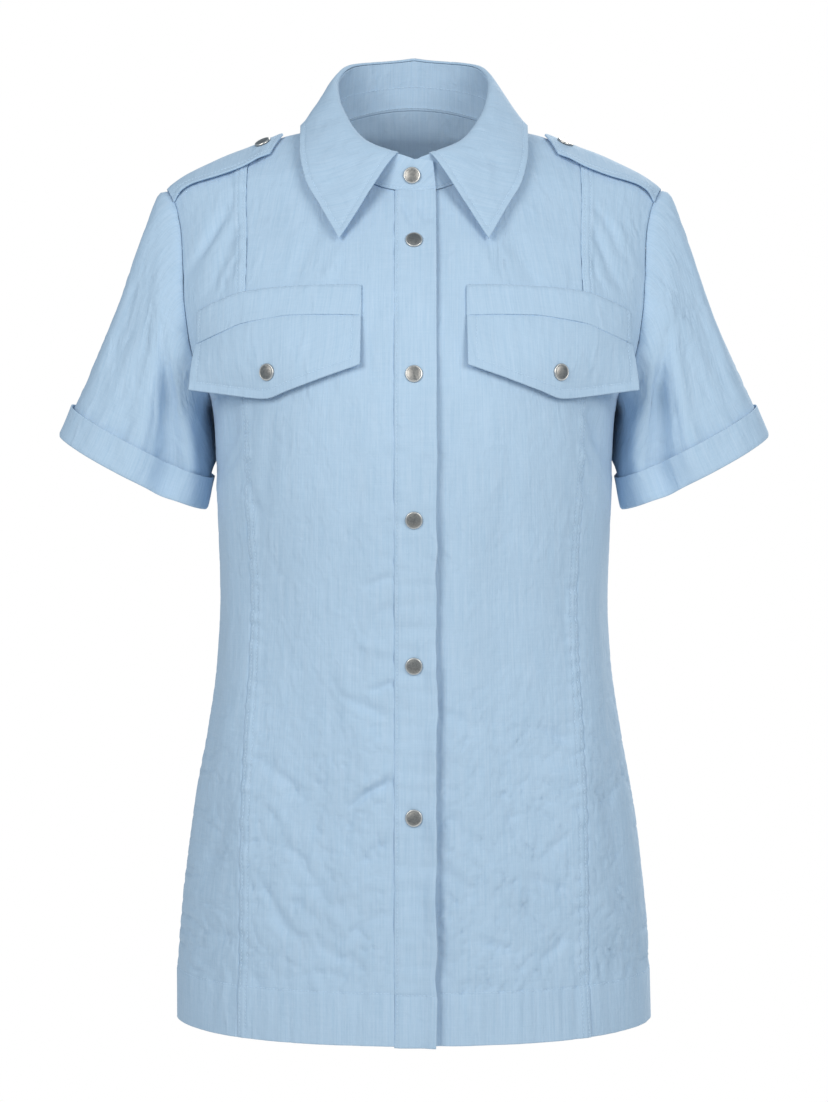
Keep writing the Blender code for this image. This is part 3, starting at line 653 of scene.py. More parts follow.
def stitchRows(name, paths):
    # one small tube a stitch
    look, around = stitchLook, stitchLook["around"]
    spin = np.arange(around) * 2 * math.pi / around
    flat, upright = np.cos(spin)[None, :, None], np.sin(spin)[None, :, None]
    corner = np.arange(around)[None, None, :]
    nextCorner = (corner + 1) % around
    verts, faces, base = [], [], 0
    for points, normal in paths:
        along = lengthAlong(points)
        starts = np.arange(look["first"], along[-1] - look["length"], look["pitch"])
        rings = []
        for share, height, thin in look["rings"]:
            at = starts + share * look["length"]
            centre, up = pointsAt(at, along, points), pointsAt(at, along, normal)
            ahead = pointsAt(at + 0.0003, along, points) - centre
            ahead /= np.maximum(np.linalg.norm(ahead, axis=1, keepdims=True), 1e-9)
            wide = np.cross(ahead, up)
            centre = centre + up * (look["high"] * height)
            circle = wide[:, None] * flat + up[:, None] * upright
            rings.append(centre[:, None] + thin * look["radius"] * circle)
        verts.append(np.stack(rings, axis=1).reshape(-1, 3))  # by stitch, ring and corner
        stitch, ring = np.arange(len(starts))[:, None, None], np.arange(len(rings) - 1)[None, :, None]
        first = base + (stitch * len(rings) + ring) * around
        quads = (first + corner, first + nextCorner, first + around + nextCorner, first + around + corner)
        faces.append(np.stack(quads, axis=-1).reshape(-1, 4))
        base += len(verts[-1])
    piece = newObject(name, np.concatenate(verts), np.concatenate(faces), thread)
    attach(piece, "root")


def sewnLine(cloth, edge, inset, start=0.0, stop=0.0, inner=False):
    # a path at a distance from an edge of a piece, on its outer or inner face, short of both ends
    points, normal = cloth["shown"], cloth["shownNormal"]
    away = cloth["from" + edge]
    if edge in ("Left", "Right"):
        pick = np.abs(away - inset).mean(axis=0).argmin()
        path, up = points[:, pick], normal[:, pick]
    else:
        pick = np.abs(away - inset).mean(axis=1).argmin()
        path, up = points[pick], normal[pick]
    along = lengthAlong(path)
    keep = (along >= start) & (along <= along[-1] - stop)
    out = -1 if inner else 1
    return path[keep] + out * up[keep] * cloth["thickness"] / 2, out * up[keep]


def hemRow(cloth, ends=0.001):
    return sewnLine(cloth, "Hem", fineCloth["hemBand"], ends, ends)


def edgeRows(cloth, inset, short):
    # topstitching beside the lower edge and both ends of a flap or leaf
    rows = [sewnLine(cloth, "Hem", inset, short, short)]
    return rows + [sewnLine(cloth, edge, inset, short, 0.0) for edge in ("Left", "Right")]


def clearUnder(x, z, boxes, edge=0.006):
    # 0 inside any of the boxes (x0, z0, x1, z1), 1 well outside
    keep = np.ones(np.shape(x))
    for x0, z0, x1, z1 in boxes:
        outside = np.maximum(np.maximum(x0 - x, x - x1), np.maximum(z0 - z, z - z1))
        keep = np.minimum(keep, softStep(-edge, edge, outside))
    return keep


# body panels

bodyFolds = {
    # side, then x and z at each end, width and depth: the frame's own
    "frame": (
        (-1, -0.138, -0.245, -0.118, -0.560, 0.016, 0.0030),
        (-1, 0.138, -0.245, 0.120, -0.560, 0.016, 0.0030),
        (-1, -0.092, -0.340, -0.060, -0.640, 0.020, -0.0030),
        (-1, 0.060, -0.330, 0.092, -0.630, 0.022, -0.0028),
        (-1, -0.030, -0.310, -0.075, -0.440, 0.018, -0.0026),
        (1, -0.060, -0.260, -0.085, -0.620, 0.022, -0.0045),
        (1, 0.065, -0.270, 0.080, -0.640, 0.022, -0.0045),
        (1, 0.000, -0.300, 0.004, -0.560, 0.026, 0.0035),
        (1, -0.130, -0.090, -0.090, -0.250, 0.018, -0.0030),
        (1, 0.130, -0.090, 0.090, -0.250, 0.018, -0.0030),
    ),
    # millimetres: x0, z0, x1, z1, width, depth, as seen from the front
    "front": (
        (-15, -477, -44, -496, 3.0, -1.4),
        (-15, -471, -40, -486, 3.6, 0.8),
        (-43, -494, -50, -530, 5.0, -0.9),
        (-14, -411, -31, -416, 3.0, -1.0),
        (-17, -434, -54, -418, 4.0, -1.0),
        (-15, -333, -35, -343, 3.2, -0.8),
        (-16, -350, -31, -374, 3.5, -0.7),
        (-14, -388, -40, -380, 4.5, 0.7),
        (-15, -455, -36, -447, 4.0, 0.6),
        (-16, -521, -42, -541, 4.0, -0.9),
        (-15, -566, -46, -590, 4.5, -0.9),
        (-30, -548, -62, -566, 4.5, 0.7),
        (-112, -464, -80, -493, 4.0, -1.0),
        (-110, -486, -84, -520, 4.5, 0.7),
        (-112, -549, -90, -585, 4.0, -0.9),
        (-104, -572, -76, -598, 4.5, -0.8),
        (-80, -560, -48, -586, 5.0, 0.8),
        (-72, -596, -40, -606, 4.0, -0.8),
        (-96, -520, -66, -556, 5.0, -0.8),
        (-60, -500, -78, -560, 6.0, 0.8),
        (-34, -470, -52, -400, 7.0, 0.7),
        (112, -452, 92, -440, 3.5, -1.0),
        (114, -478, 86, -470, 4.0, 0.7),
        (112, -520, 90, -538, 4.0, -0.9),
        (113, -560, 84, -548, 4.0, -0.9),
        (112, -588, 92, -610, 3.6, -0.9),
        (96, -600, 70, -580, 4.5, 0.7),
        (22, -500, 50, -530, 5.0, -0.8),
        (20, -540, 44, -562, 4.5, -0.8),
        (22, -430, 46, -446, 4.0, -0.7),
        (50, -540, 82, -572, 5.0, 0.8),
        (40, -590, 74, -602, 4.0, -0.8),
        (60, -470, 74, -520, 6.0, -0.7),
        (30, -600, 20, -570, 4.5, 0.7),
        (134, -480, 150, -540, 6.0, -0.9),
        (-134, -500, -152, -560, 6.0, -0.9),
        (131, -560, 156, -592, 5.0, 0.8),
        (-131, -590, -158, -618, 5.0, -0.9),
        (-132, -430, -146, -490, 7.0, 0.9),
        (134, -600, 160, -612, 4.0, -0.8),
        (-56, -62, -92, -132, 6.0, -0.7),
        (-44, -86, -66, -126, 5.0, 0.6),
        (58, -66, 88, -128, 6.0, -0.7),
        (40, -90, 62, -126, 5.0, 0.6),
        (-128, -76, -150, -132, 5.0, -1.0),
        (-140, -70, -166, -118, 4.5, -0.8),
        (-134, -62, -158, -104, 3.5, -0.8),
        (-128, -100, -141, -140, 3.5, -0.7),
        (130, -78, 152, -130, 5.0, -1.0),
        (146, -76, 166, -120, 5.0, 0.6),
        (134, -64, 160, -108, 3.5, -0.8),
        (129, -104, 140, -138, 3.5, -0.6),
        (-126, -216, -143, -262, 7.0, -1.2),
        (-128, -204, -136, -238, 5.0, -1.2),
        (-122, -230, -131, -258, 3.4, -1.0),
        (-118, -248, -127, -274, 3.2, -0.9),
        (-121, -266, -111, -292, 3.2, -0.8),
        (126, -214, 142, -258, 7.0, -1.2),
        (127, -206, 135, -240, 5.0, -1.1),
        (121, -234, 130, -260, 3.4, -0.9),
        (118, -254, 128, -282, 3.2, -0.9),
        (-100, -222, -108, -300, 6.0, -0.6),
        (24, -215, 32, -330, 7.0, -0.6),
        (70, -222, 62, -330, 8.0, -0.6),
        (-48, -214, -42, -300, 8.0, -0.5),
    ),
    # on the back, x from behind the wearer's right to left
    "back": (
        (-120, -120, -150, -190, 8.0, -1.6),
        (118, -124, 150, -196, 8.0, -1.5),
        (-104, -150, -136, -230, 9.0, 1.2),
        (102, -148, 134, -226, 9.0, 1.1),
        (-30, -330, -70, -420, 9.0, -1.6),
        (34, -336, 76, -410, 9.0, -1.4),
        (-96, -372, -40, -396, 7.0, -1.4),
        (100, -380, 46, -402, 7.0, -1.3),
        (-20, -402, 40, -410, 7.0, 1.1),
        (-110, -430, -80, -560, 9.0, -1.3),
        (112, -440, 90, -570, 9.0, -1.4),
        (-20, -470, -30, -620, 10.0, -1.2),
        (34, -480, 26, -630, 10.0, -1.1),
        (-140, -560, -120, -640, 8.0, -1.0),
        (142, -550, 124, -636, 8.0, -1.0),
        (-62, -90, -84, -150, 8.0, -0.7),
        (60, -92, 80, -156, 8.0, -0.7),
    ),
    "pockets": ((-0.158, -0.206, -0.035, -0.130), (0.035, -0.206, 0.158, -0.130)),
    "sideCalm": (0.90, 0.99),  # share of the half width where the frame's folds die out
    "openingCalm": (0.018, 0.045),  # and beside the front opening
    "seamCalm": 0.012,  # the crush is weaker this close to a seam
    "waist": (-0.36, -0.50),  # where the lower crush takes over
    # crush of the washed cotton: its cells' width and height, depth, lean, sharpness,
    # strength above and below the waist
    "crush": (
        (0.009, 0.075, 0.00045, 0.00, 0.16, 1.00, 0.40),
        (0.013, 0.050, 0.00042, 0.12, 0.16, 1.00, 0.60),
        (0.011, 0.026, 0.00140, 0.75, 0.20, 0.18, 1.00),
        (0.010, 0.024, 0.00130, -0.85, 0.20, 0.18, 1.00),
        (0.0075, 0.017, 0.00100, -0.45, 0.24, 0.20, 1.00),
        (0.0070, 0.015, 0.00095, 1.05, 0.24, 0.16, 1.00),
    ),
    # broad unevenness: depth, width and height; the second below the waist only
    "broad": ((0.0007, 0.030, 0.14), (0.0006, 0.06, 0.05)),
    "hemCalm": (0.030, 0.045),  # the double hem creases less
    "hemGroove": (0.0005, 0.0009),  # under the stitches: depth, width
    "hemFelt": 0.0004,
    "hemPuckers": (0.010, 0.0085, 0.0012),  # reach, size, depth
    "hemWave": (0.0008, 0.034, 0.05),  # depth, width, height
}


def bodyMoved(cloth, side, seed):
    # the frame's folds, the listed creases, and the crush of the washed cotton
    look, up, hemBand = bodyFolds, cloth["fromHem"], fineCloth["hemBand"]
    x, y, z = (cloth["points"][..., k] for k in range(3))
    folds = [row[1:] for row in look["frame"] if row[0] == side]
    moved = creaseDepth(folds, x, z) * (1 - softStep(*look["sideCalm"], np.abs(x) / halfWidth(z)))
    if side < 0:
        moved *= softStep(*look["openingCalm"], np.abs(x))
    keep = clearUnder(x, z, look["pockets"]) * 0.8 + 0.2 if side < 0 else 1.0
    nearEdge = softStep(0, look["seamCalm"], nearestSide(cloth)) * 0.7 + 0.3
    moved += handCreases(look["front" if side < 0 else "back"], x, z) * keep
    u = x + 0.3 * y
    lower = softStep(*look["waist"], z)
    crush = 0
    for i, (wide, tall, depth, lean, sharp, high, low) in enumerate(look["crush"]):
        strength = high + (low - high) * lower
        crush = crush + crushed(u, z, wide, tall, depth, seed + 20 * i, lean, sharp) * strength
    broad, lowBroad = look["broad"]
    broad = uneven(u, z, broad, seed + 180) + uneven(u, z, lowBroad, seed + 181) * lower
    band = 0.45 + 0.55 * softStep(*look["hemCalm"], up)
    moved += (crush * band + broad) * keep * nearEdge
    moved += groove(up, (hemBand,), *look["hemGroove"])
    moved += feltBand(up, hemBand, look["hemFelt"])
    moved += puckers(np.abs(up - hemBand), u, *look["hemPuckers"], seed + 100)
    moved += uneven(u, up, look["hemWave"], seed + 110) * (1 - softStep(0.0, 0.03, up))
    return moved


# the wearer's left and right, with the names of a piece's inner and outer edge
hands = (("left", 1, "Left", "Right"), ("right", -1, "Right", "Left"))

frontPanel = {
    "cut": (0.130, 0.640, 0.93),
    "sideCut": (0.120, 0.600, 0.86),
    "backCut": (0.480, 0.680, 0.86),
    "lapEnds": 0.042,
    "lap": 0.0009,
    "gap": (0.0176, 0.0042, 0.0021),  # middle, width and depth of the hollow beside the placket's free edge
    "gapLong": 0.032,  # length of its swells
    "gapFrom": (-0.16, -0.30),
    "placketPuckers": (0.008, 0.011, 0.0005),
    "seamChange": (-0.215, -0.195),  # topstitched on the side panel above this and on the front below it
    "seamFelt": (0.0085, 0.0006),  # reach and lift
    "seamGroove": (0.0005, 0.0008),
    "upperPuckers": (0.0095, 0.0056, 0.0006),  # reach, size, depth
    "lowerPuckers": (0.0095, 0.0056, 0.0010),
    # how far short of the hem and the top the seam's two rows stop
    "upperRows": (0.478, 0.002),
    "lowerRows": (0.002, 0.190),
}
opening = {"overSeam": -0.0137, "overEdge": 0.0158, "underEdge": -0.0105, "underSeam": 0.0120}


def frontGrid(edge):
    def widthAt(low, high):
        def at(z):
            share = low + (high - low) * float(softStep(*bodyForm["spreadBetween"], z))
            return edge + (float(seamX(z)) - seamGap / 2 - edge) * share

        return at

    shares = necklineShares(edge, bodyForm["curvedSeam"][-1][1], 20, 8)
    return np.stack([panelColumn(-1, widthAt(*pair), 110, 60) for pair in shares], axis=1)


def sideGrid():
    def widthAt(share):
        return lambda z: columnX(-1, float(seamX(z)) + seamGap / 2, z, share)

    return np.stack([panelColumn(-1, widthAt(s), 110, 60) for s in np.linspace(0, 1, 22)], axis=1)


def backGrid():
    def widthAt(low, high):
        def at(z):
            share = low + (high - low) * float(softStep(*bodyForm["spreadBetween"], z))
            return columnX(1, 0.0, z, share)

        return at

    shares = necklineShares(0.0, bodyForm["tipX"], 22, 14)
    left = np.stack([panelColumn(1, widthAt(*pair), 110, 60) for pair in shares], axis=1)
    return np.concatenate([mirrored(left), left[:, 1:]], axis=1)[:, ::-1]


def curvedSeamSide(cloth, edge, upper, seed):
    away, z = cloth["from" + edge], cloth["points"][..., 2]
    above = softStep(*frontPanel["seamChange"], z)
    here = above if upper else 1 - above
    felt = feltBand(away, *frontPanel["seamFelt"])
    moved = (felt + groove(away, fineCloth["twinRows"], *frontPanel["seamGroove"])) * here
    moved += puckers(away, z, *frontPanel["upperPuckers" if upper else "lowerPuckers"], seed) * here
    return moved + seamEdge(away, 0.0008)


twin, plain, hemLines = fineCloth["twinLines"], fineCloth["edgeLines"], fineCloth["hemLines"]
twinRows = fineCloth["twinRows"]
for hand, sign, inner, outer in hands:
    grid = forHand(frontGrid(opening["underSeam"] if sign > 0 else -opening["overSeam"]), sign)
    sides = (plain, twin)[::sign]
    cloth = asCloth(grid, *sides, hemLines, plain, fineCloth["bodyStep"])
    x, z = cloth["points"][..., 0], cloth["points"][..., 2]
    cloth["moved"] = bodyMoved(cloth, -1, 11 if sign > 0 else 12)
    cloth["moved"] += curvedSeamSide(cloth, outer, False, 200 + sign)
    cloth["moved"] += seamEdge(cloth["from" + inner], 0.0005)
    if sign > 0:
        near = 1 - softStep(opening["underSeam"], frontPanel["lapEnds"], np.abs(x))
        cloth["moved"] -= frontPanel["lap"] * near
        middle, width, depth = frontPanel["gap"]
        hollow = bell(x - middle, width) * (0.75 + 0.5 * cloudy(0 * z, z / frontPanel["gapLong"], 235))
        cloth["moved"] -= depth * hollow * softStep(*frontPanel["gapFrom"], z)
    else:
        # the placket seam draws the cloth beside it into short ripples
        cloth["moved"] += puckers(cloth["fromRight"], z, *frontPanel["placketPuckers"], 230)
    sewnTo = [f"{hand}_side_front", "collar_stand"]
    clothPiece(f"{hand}_front", cloth, "single", frontPanel["cut"], "hung", sewnTo)
    seamRows = [sewnLine(cloth, outer, inset, *frontPanel["lowerRows"]) for inset in twinRows]
    stitchRows(f"{hand}_front_stitching", seamRows + [hemRow(cloth)])

    cloth = asCloth(forHand(sideGrid(), sign), *sides[::-1], hemLines, plain, fineCloth["bodyStep"])
    cloth["moved"] = bodyMoved(cloth, -1, 13 if sign > 0 else 14)
    cloth["moved"] += curvedSeamSide(cloth, inner, True, 210 + sign)
    cloth["moved"] += seamEdge(cloth["from" + outer], 0.0006)
    sewnTo = [f"{hand}_front", "back"]
    clothPiece(f"{hand}_side_front", cloth, "single", frontPanel["sideCut"], "hung", sewnTo)
    seamRows = [sewnLine(cloth, inner, inset, *frontPanel["upperRows"]) for inset in twinRows]
    stitchRows(f"{hand}_side_front_stitching", seamRows + [hemRow(cloth)])
print("fronts made")

cloth = asCloth(backGrid(), plain, plain, hemLines, plain, fineCloth["backStep"])
cloth["moved"] = bodyMoved(cloth, 1, 15)
cloth["moved"] += sideSeams(cloth, 0.0006)
clothPiece("back", cloth, "single", frontPanel["backCut"], "hung", ["left_side_front", "right_side_front"])
stitchRows("back_stitching", [hemRow(cloth)])
print("back made")


# front plackets: the wearer's right one lies on top

placket = {
    "cut": (0.0300, 0.600, 1.0),
    "underCut": (0.0230, 0.600, 1.0),
    "lines": (0.0, 0.0006, 0.0013, 0.0020, 0.0027, 0.0036),
    "stitch": 0.0020,
    "liftBy": 1.9,
    # free edge: height, how far it lifts off before liftBy, in millimetres
    "edgeLift": (
        (-667, 1.6), (-640, 2.4), (-615, 1.0), (-592, 1.8), (-565, 2.8), (-540, 1.2), (-515, 2.6),
        (-488, 1.4), (-460, 2.4), (-430, 1.0), (-405, 2.0), (-370, 0.7), (-330, 1.0), (-280, 0.5),
        (-220, 0.8), (-150, 0.4), (-110, 1.0), (-85, 0.6), (-60, 0.5),
    ),
    "snaps": (-0.0949, -0.1924, -0.2943, -0.3973, -0.5050),
    "snapDent": (0.0005, 0.0006, 0.008),  # x of the row, depth, width
    # by the neck, in millimetres
    "creases": ((-10, -62, 2, -84, 2.6, -0.9), (2, -66, 12, -80, 2.8, -0.7)),
    "puckers": (0.014, 0.010, 0.00045),
    # depth, width, height
    "underUneven": (0.0002, 0.02, 0.03),
    "uneven": (0.0005, 0.03, 0.024),
    "ripples": (0.0007, 0.04, 0.0085),
    "ripplesFrom": (-0.24, -0.36),
    "step": 0.0018,
    "waves": ((0.0017, 0.045, 64), (0.0009, 0.019, 65)),  # of the free edge: depth, length, seed
}


def stripGrid(left, right, bottom=hem):
    places = np.linspace(left, right, 9)
    return np.stack([panelColumn(-1, lambda z, x=x: x, 110, 48, bottom) for x in places], axis=1)


under = stripGrid(opening["underEdge"], opening["underSeam"])
cloth = asCloth(under, plain, plain, hemLines, plain, fineCloth["step"])
u, v = cloth["fromLeft"], cloth["fromHem"]
cloth["moved"] += -frontPanel["lap"] + uneven(u, v, placket["underUneven"], 51)
clothPiece("left_placket", cloth, "single", placket["underCut"], "hung", ["left_front"])

over = stripGrid(opening["overSeam"], opening["overEdge"], hem - 0.001)
cloth = asCloth(over, placket["lines"], plain, hemLines, plain, placket["step"])
x, z, u = cloth["points"][..., 0], cloth["points"][..., 2], cloth["fromLeft"]
moved = cloth["moved"]
moved += frontPanel["lap"] * softStep(0, 0.0029, u) + 0.0002
liftCurve = easedCurve(placket["edgeLift"], 1)
moved += placket["liftBy"] * liftCurve(z * 1000) / 1000 * softStep(0.003, 0.0150, x) ** 1.4
moved += groove(u, (placket["stitch"],), 0.0005, 0.0008) + seamEdge(u, 0.0005)
moved += puckers(u, z, *placket["puckers"], 61)
moved += uneven(x, z, placket["ripples"], 62) * softStep(*placket["ripplesFrom"], z)
moved += uneven(x, z, placket["uneven"], 63)
snapX, dent, dentWide = placket["snapDent"]
for snapZ in placket["snaps"]:
    moved -= dent * bell(np.hypot(x - snapX, z - snapZ), dentWide)
moved += handCreases(placket["creases"], x, z)
moved += groove(cloth["fromHem"], (fineCloth["hemBand"],), 0.0003, 0.0009)
wave = sum(depth * cloudy(0 * z, z / length, seed) for depth, length, seed in placket["waves"])
cloth["points"][..., 0] += wave * softStep(0.002, 0.0155, x) * softStep(-0.18, -0.34, z)
clothPiece("right_placket", cloth, "double", placket["cut"], "hung", ["right_front"])
seamRow = sewnLine(cloth, "Left", placket["stitch"], 0.001, 0.001)
stitchRows("right_placket_stitching", [seamRow, hemRow(cloth, 0.0005)])
print("plackets made")


# sleeves and cuffs

sleeveCut = {
    "cuffCentre": (0.2094, -0.009, -0.2560),
    "cuffTilt": math.radians(26.8),
    "cuffWide": 0.0605,
    "cuffDeep": 0.046,
    "cuffHeight": 0.023,
    "cuffFlare": 0.0012,
    "cuffDip": 0.0065,
    # the way out of the armhole at its top and at the underarm, and how it fans to front and back
    "outTop": (0.94, 0, -0.34),
    "outUnder": (0.72, 0, -0.69),
    "fan": 0.22,
    # length of the curves' handles at the armhole and at the cuff: top, underarm, front and back
    "nearHandle": (0.019, 0.013, 0.020),
    "farHandle": (0.128, 0.038),
    "underAxis": (0.225, 0, -0.974),
    "sleeve": (0.355, 0.195, 0.64),
    "cuff": (0.345, 0.024, 1.0),
    # degrees from the shoulder line and share down, at each end, width and depth: the frame's own
    "folds": (
        (108, 0.22, 122, 1.05, 15, -0.0080),
        (84, 0.35, 92, 1.05, 14, 0.0022),
        (45, 0.10, 62, 0.95, 17, -0.0024),
        (300, 0.15, 285, 1.00, 18, -0.0035),
        (236, 0.25, 244, 1.05, 16, -0.0055),
        (204, 0.10, 207, 0.66, 20, 0.0085),
    ),
    # smaller ones, the same way
    "creases": (
        (112, 0.26, 126, 1.02, 15, -0.0046),
        (96, 0.50, 103, 1.00, 5, -0.0014),
        (70, 0.30, 76, 0.95, 7, -0.0013),
        (57, 0.42, 50, 0.98, 6, 0.0010),
        (34, 0.30, 40, 0.92, 7, -0.0011),
        (22, 0.12, 26, 0.80, 9, 0.0009),
        (142, 0.30, 138, 1.00, 8, 0.0022),
        (160, 0.30, 156, 0.95, 7, -0.0018),
        (88, 0.62, 70, 0.86, 4, -0.0008),
        (62, 0.66, 44, 0.84, 5, -0.0008),
        (46, 0.86, 66, 0.74, 4, 0.0006),
        (330, 0.20, 322, 0.92, 9, -0.0012),
        (312, 0.45, 318, 1.00, 7, 0.0011),
        (262, 0.30, 268, 1.00, 8, -0.0013),
        (222, 0.40, 214, 1.00, 8, 0.0012),
        (10, 0.35, 4, 0.95, 9, -0.0009),
    ),
    "head": (0.0009, 0.006, 0.005),  # fullness eased over the shoulder: depth, place, width
    "headPuckers": (0.007, 0.013, 0.00035),
    "underTab": (0.0017, 24),  # rise below the epaulette, half its width in degrees
    "uneven": (0.0008, 0.028, 0.10),
    "cuffUneven": (0.0004, 0.014, 0.03),
    "cuffGape": (0.0012, 0.018),  # how far its upper edge stands off, and the width of a swell
    # crush: its cells' width and height, depth, lean, sharpness
    "crush": (
        (0.009, 0.060, 0.00045, 0.0, 0.16),
        (0.014, 0.034, 0.00065, 0.5, 0.20),
        (0.012, 0.030, 0.00065, -0.7, 0.20),
        (0.008, 0.018, 0.00050, 0.9, 0.24),
    ),
}


def sleeveLine(turn):
    top = (1 + math.cos(turn)) / 2
    start = armholePoint(turn, seamGap)
    outward = np.array(sleeveCut["outTop"]) * top + np.array(sleeveCut["outUnder"]) * (1 - top)
    outward += np.array((0, -sleeveCut["fan"] * math.sin(turn), 0))
    outward /= np.linalg.norm(outward)
    start = start + outward * 0.00015
    tilt = sleeveCut["cuffTilt"]
    wide = np.array((math.cos(tilt), 0, math.sin(tilt)))
    axis = np.array((math.sin(tilt), 0, -math.cos(tilt)))
    end = np.array(sleeveCut["cuffCentre"]) + wide * sleeveCut["cuffWide"] * math.cos(turn)
    end = end + np.array((0, -sleeveCut["cuffDeep"], -sleeveCut["cuffDip"])) * math.sin(turn)
    atTop, atUnder, atSides = sleeveCut["nearHandle"]
    first = start + outward * (atTop * top + atUnder * (1 - top) + atSides * abs(math.sin(turn)))
    atTop, atUnder = sleeveCut["farHandle"]
    last = end - axis * atTop * top - np.array(sleeveCut["underAxis"]) * atUnder * (1 - top)
    return bezier(start, first, last, end, 79)


def sleeveGrid(around, shares=None, heights=None, lift=0.0):
    # rings from the lower edge up, starting and ending at the underarm seam
    turns = math.pi - np.arange(around) * 2 * math.pi / around
    rings = len(shares if heights is None else heights)
    grid = np.zeros((rings, around, 3))
    down = np.zeros((rings, around))
    for c, turn in enumerate(turns):
        line = sleeveLine(turn)[::-1]
        along = lengthAlong(line)
        at = np.array(shares) * along[-1] if heights is None else np.array(heights)
        grid[:, c] = pointsAt(at, along, line)
        grid[:, c] += (line[1] - line[0]) / along[1] * np.minimum(at, 0)[:, None]
        down[:, c] = 1 - at / along[-1]
    place = np.broadcast_to(np.degrees(turns) % 360, down.shape)
    depth = creaseDepth(sleeveCut["folds"], place, down, reach=90.0)
    grid = grid + facing(grid, True) * (depth + np.reshape(lift, (-1, 1)))[..., None]
    return np.concatenate([grid, grid[:, :1]], axis=1)


def degreesRound(cloth, sign):
    # from the shoulder line, forwards over the front
    share = cloth["fromLeft"] / cloth["fromLeft"][:, -1:]
    return (180 - sign * share * 360) % 360


fineSleeve = sleeveGrid(150, shares=np.linspace(0, 1, 100))
cuffRise = np.linspace(-0.0006, sleeveCut["cuffHeight"], 13)
cuffLift = 0.0013 + sleeveCut["cuffFlare"] * np.linspace(0, 1, 13) ** 1.5
fineCuff = sleeveGrid(150, heights=cuffRise, lift=cuffLift)
for hand, sign, inner, outer in hands:
    seed = 71 if sign > 0 else 72
    grid = forHand(fineSleeve, sign)
    cloth = asCloth(grid, plain, plain, (0.0, 0.001), plain, fineCloth["step"], closed=True)
    degrees = degreesRound(cloth, sign)
    u, v, fromTop = cloth["fromLeft"], cloth["fromHem"], cloth["fromTop"]
    down = fromTop / fromTop[:1]
    wobble = 3.0 * cloudy(degrees / 40, down * 5, seed)
    moved = creaseDepth(sleeveCut["creases"], degrees + wobble, down, reach=90.0)
    edge = softStep(0, 0.010, nearestSide(cloth))
    for i, (wide, tall, depth, lean, sharp) in enumerate(sleeveCut["crush"]):
        moved += crushed(u, v, wide, tall, depth, seed + 300 + 20 * i, lean, sharp) * edge
    moved += uneven(u, v, sleeveCut["uneven"], seed + 4) * edge
    depth, place, width = sleeveCut["head"]
    towardsTop = np.cos(np.radians(degrees)) * 0.5 + 0.5
    moved += depth * towardsTop * bell(fromTop - place, width) - 0.0007 * bell(fromTop, 0.0012)
    rise, width = sleeveCut["underTab"]
    underTab = bell((degrees + 180) % 360 - 180, width)
    moved += rise * underTab * softStep(0.0, 0.0022, fromTop) * (1 - softStep(0.008, 0.030, fromTop))
    moved += puckers(fromTop, u, *sleeveCut["headPuckers"], seed + 5)
    moved += sideSeams(cloth, 0.0006)
    cloth["moved"] = moved
    sewnTo = [f"{hand}_side_front", "back"]
    clothPiece(f"{hand}_sleeve", cloth, "single", sleeveCut["sleeve"], "hung", sewnTo)

    grid = forHand(fineCuff, sign)
    cloth = asCloth(grid, plain, plain, plain, plain, fineCloth["smallStep"], closed=True)
    degrees = degreesRound(cloth, sign)
    u, v = cloth["fromLeft"], cloth["fromHem"]
    wobble = 3.0 * cloudy(degrees / 40, 0 * degrees, seed)
    lowDown = np.full_like(degrees, 0.93)
    moved = creaseDepth(sleeveCut["creases"], degrees + wobble, lowDown, reach=90.0) * 0.8
    gape, gapeWide = sleeveCut["cuffGape"]
    loose = np.maximum(0, cloudy(u / gapeWide, 0 * u, seed + 7)) * softStep(0.012, 0.023, v)
    moved += gape * loose + uneven(u, v, sleeveCut["cuffUneven"], seed + 8)
    moved += sideSeams(cloth, 0.0005)
    moved -= 0.0007 * bell(v, 0.0008)  # the lower edge is a fold
    cloth["moved"] = moved
    clothPiece(f"{hand}_cuff", cloth, "single", sleeveCut["cuff"], "folded", [f"{hand}_sleeve"])
print("sleeves made")


# collar

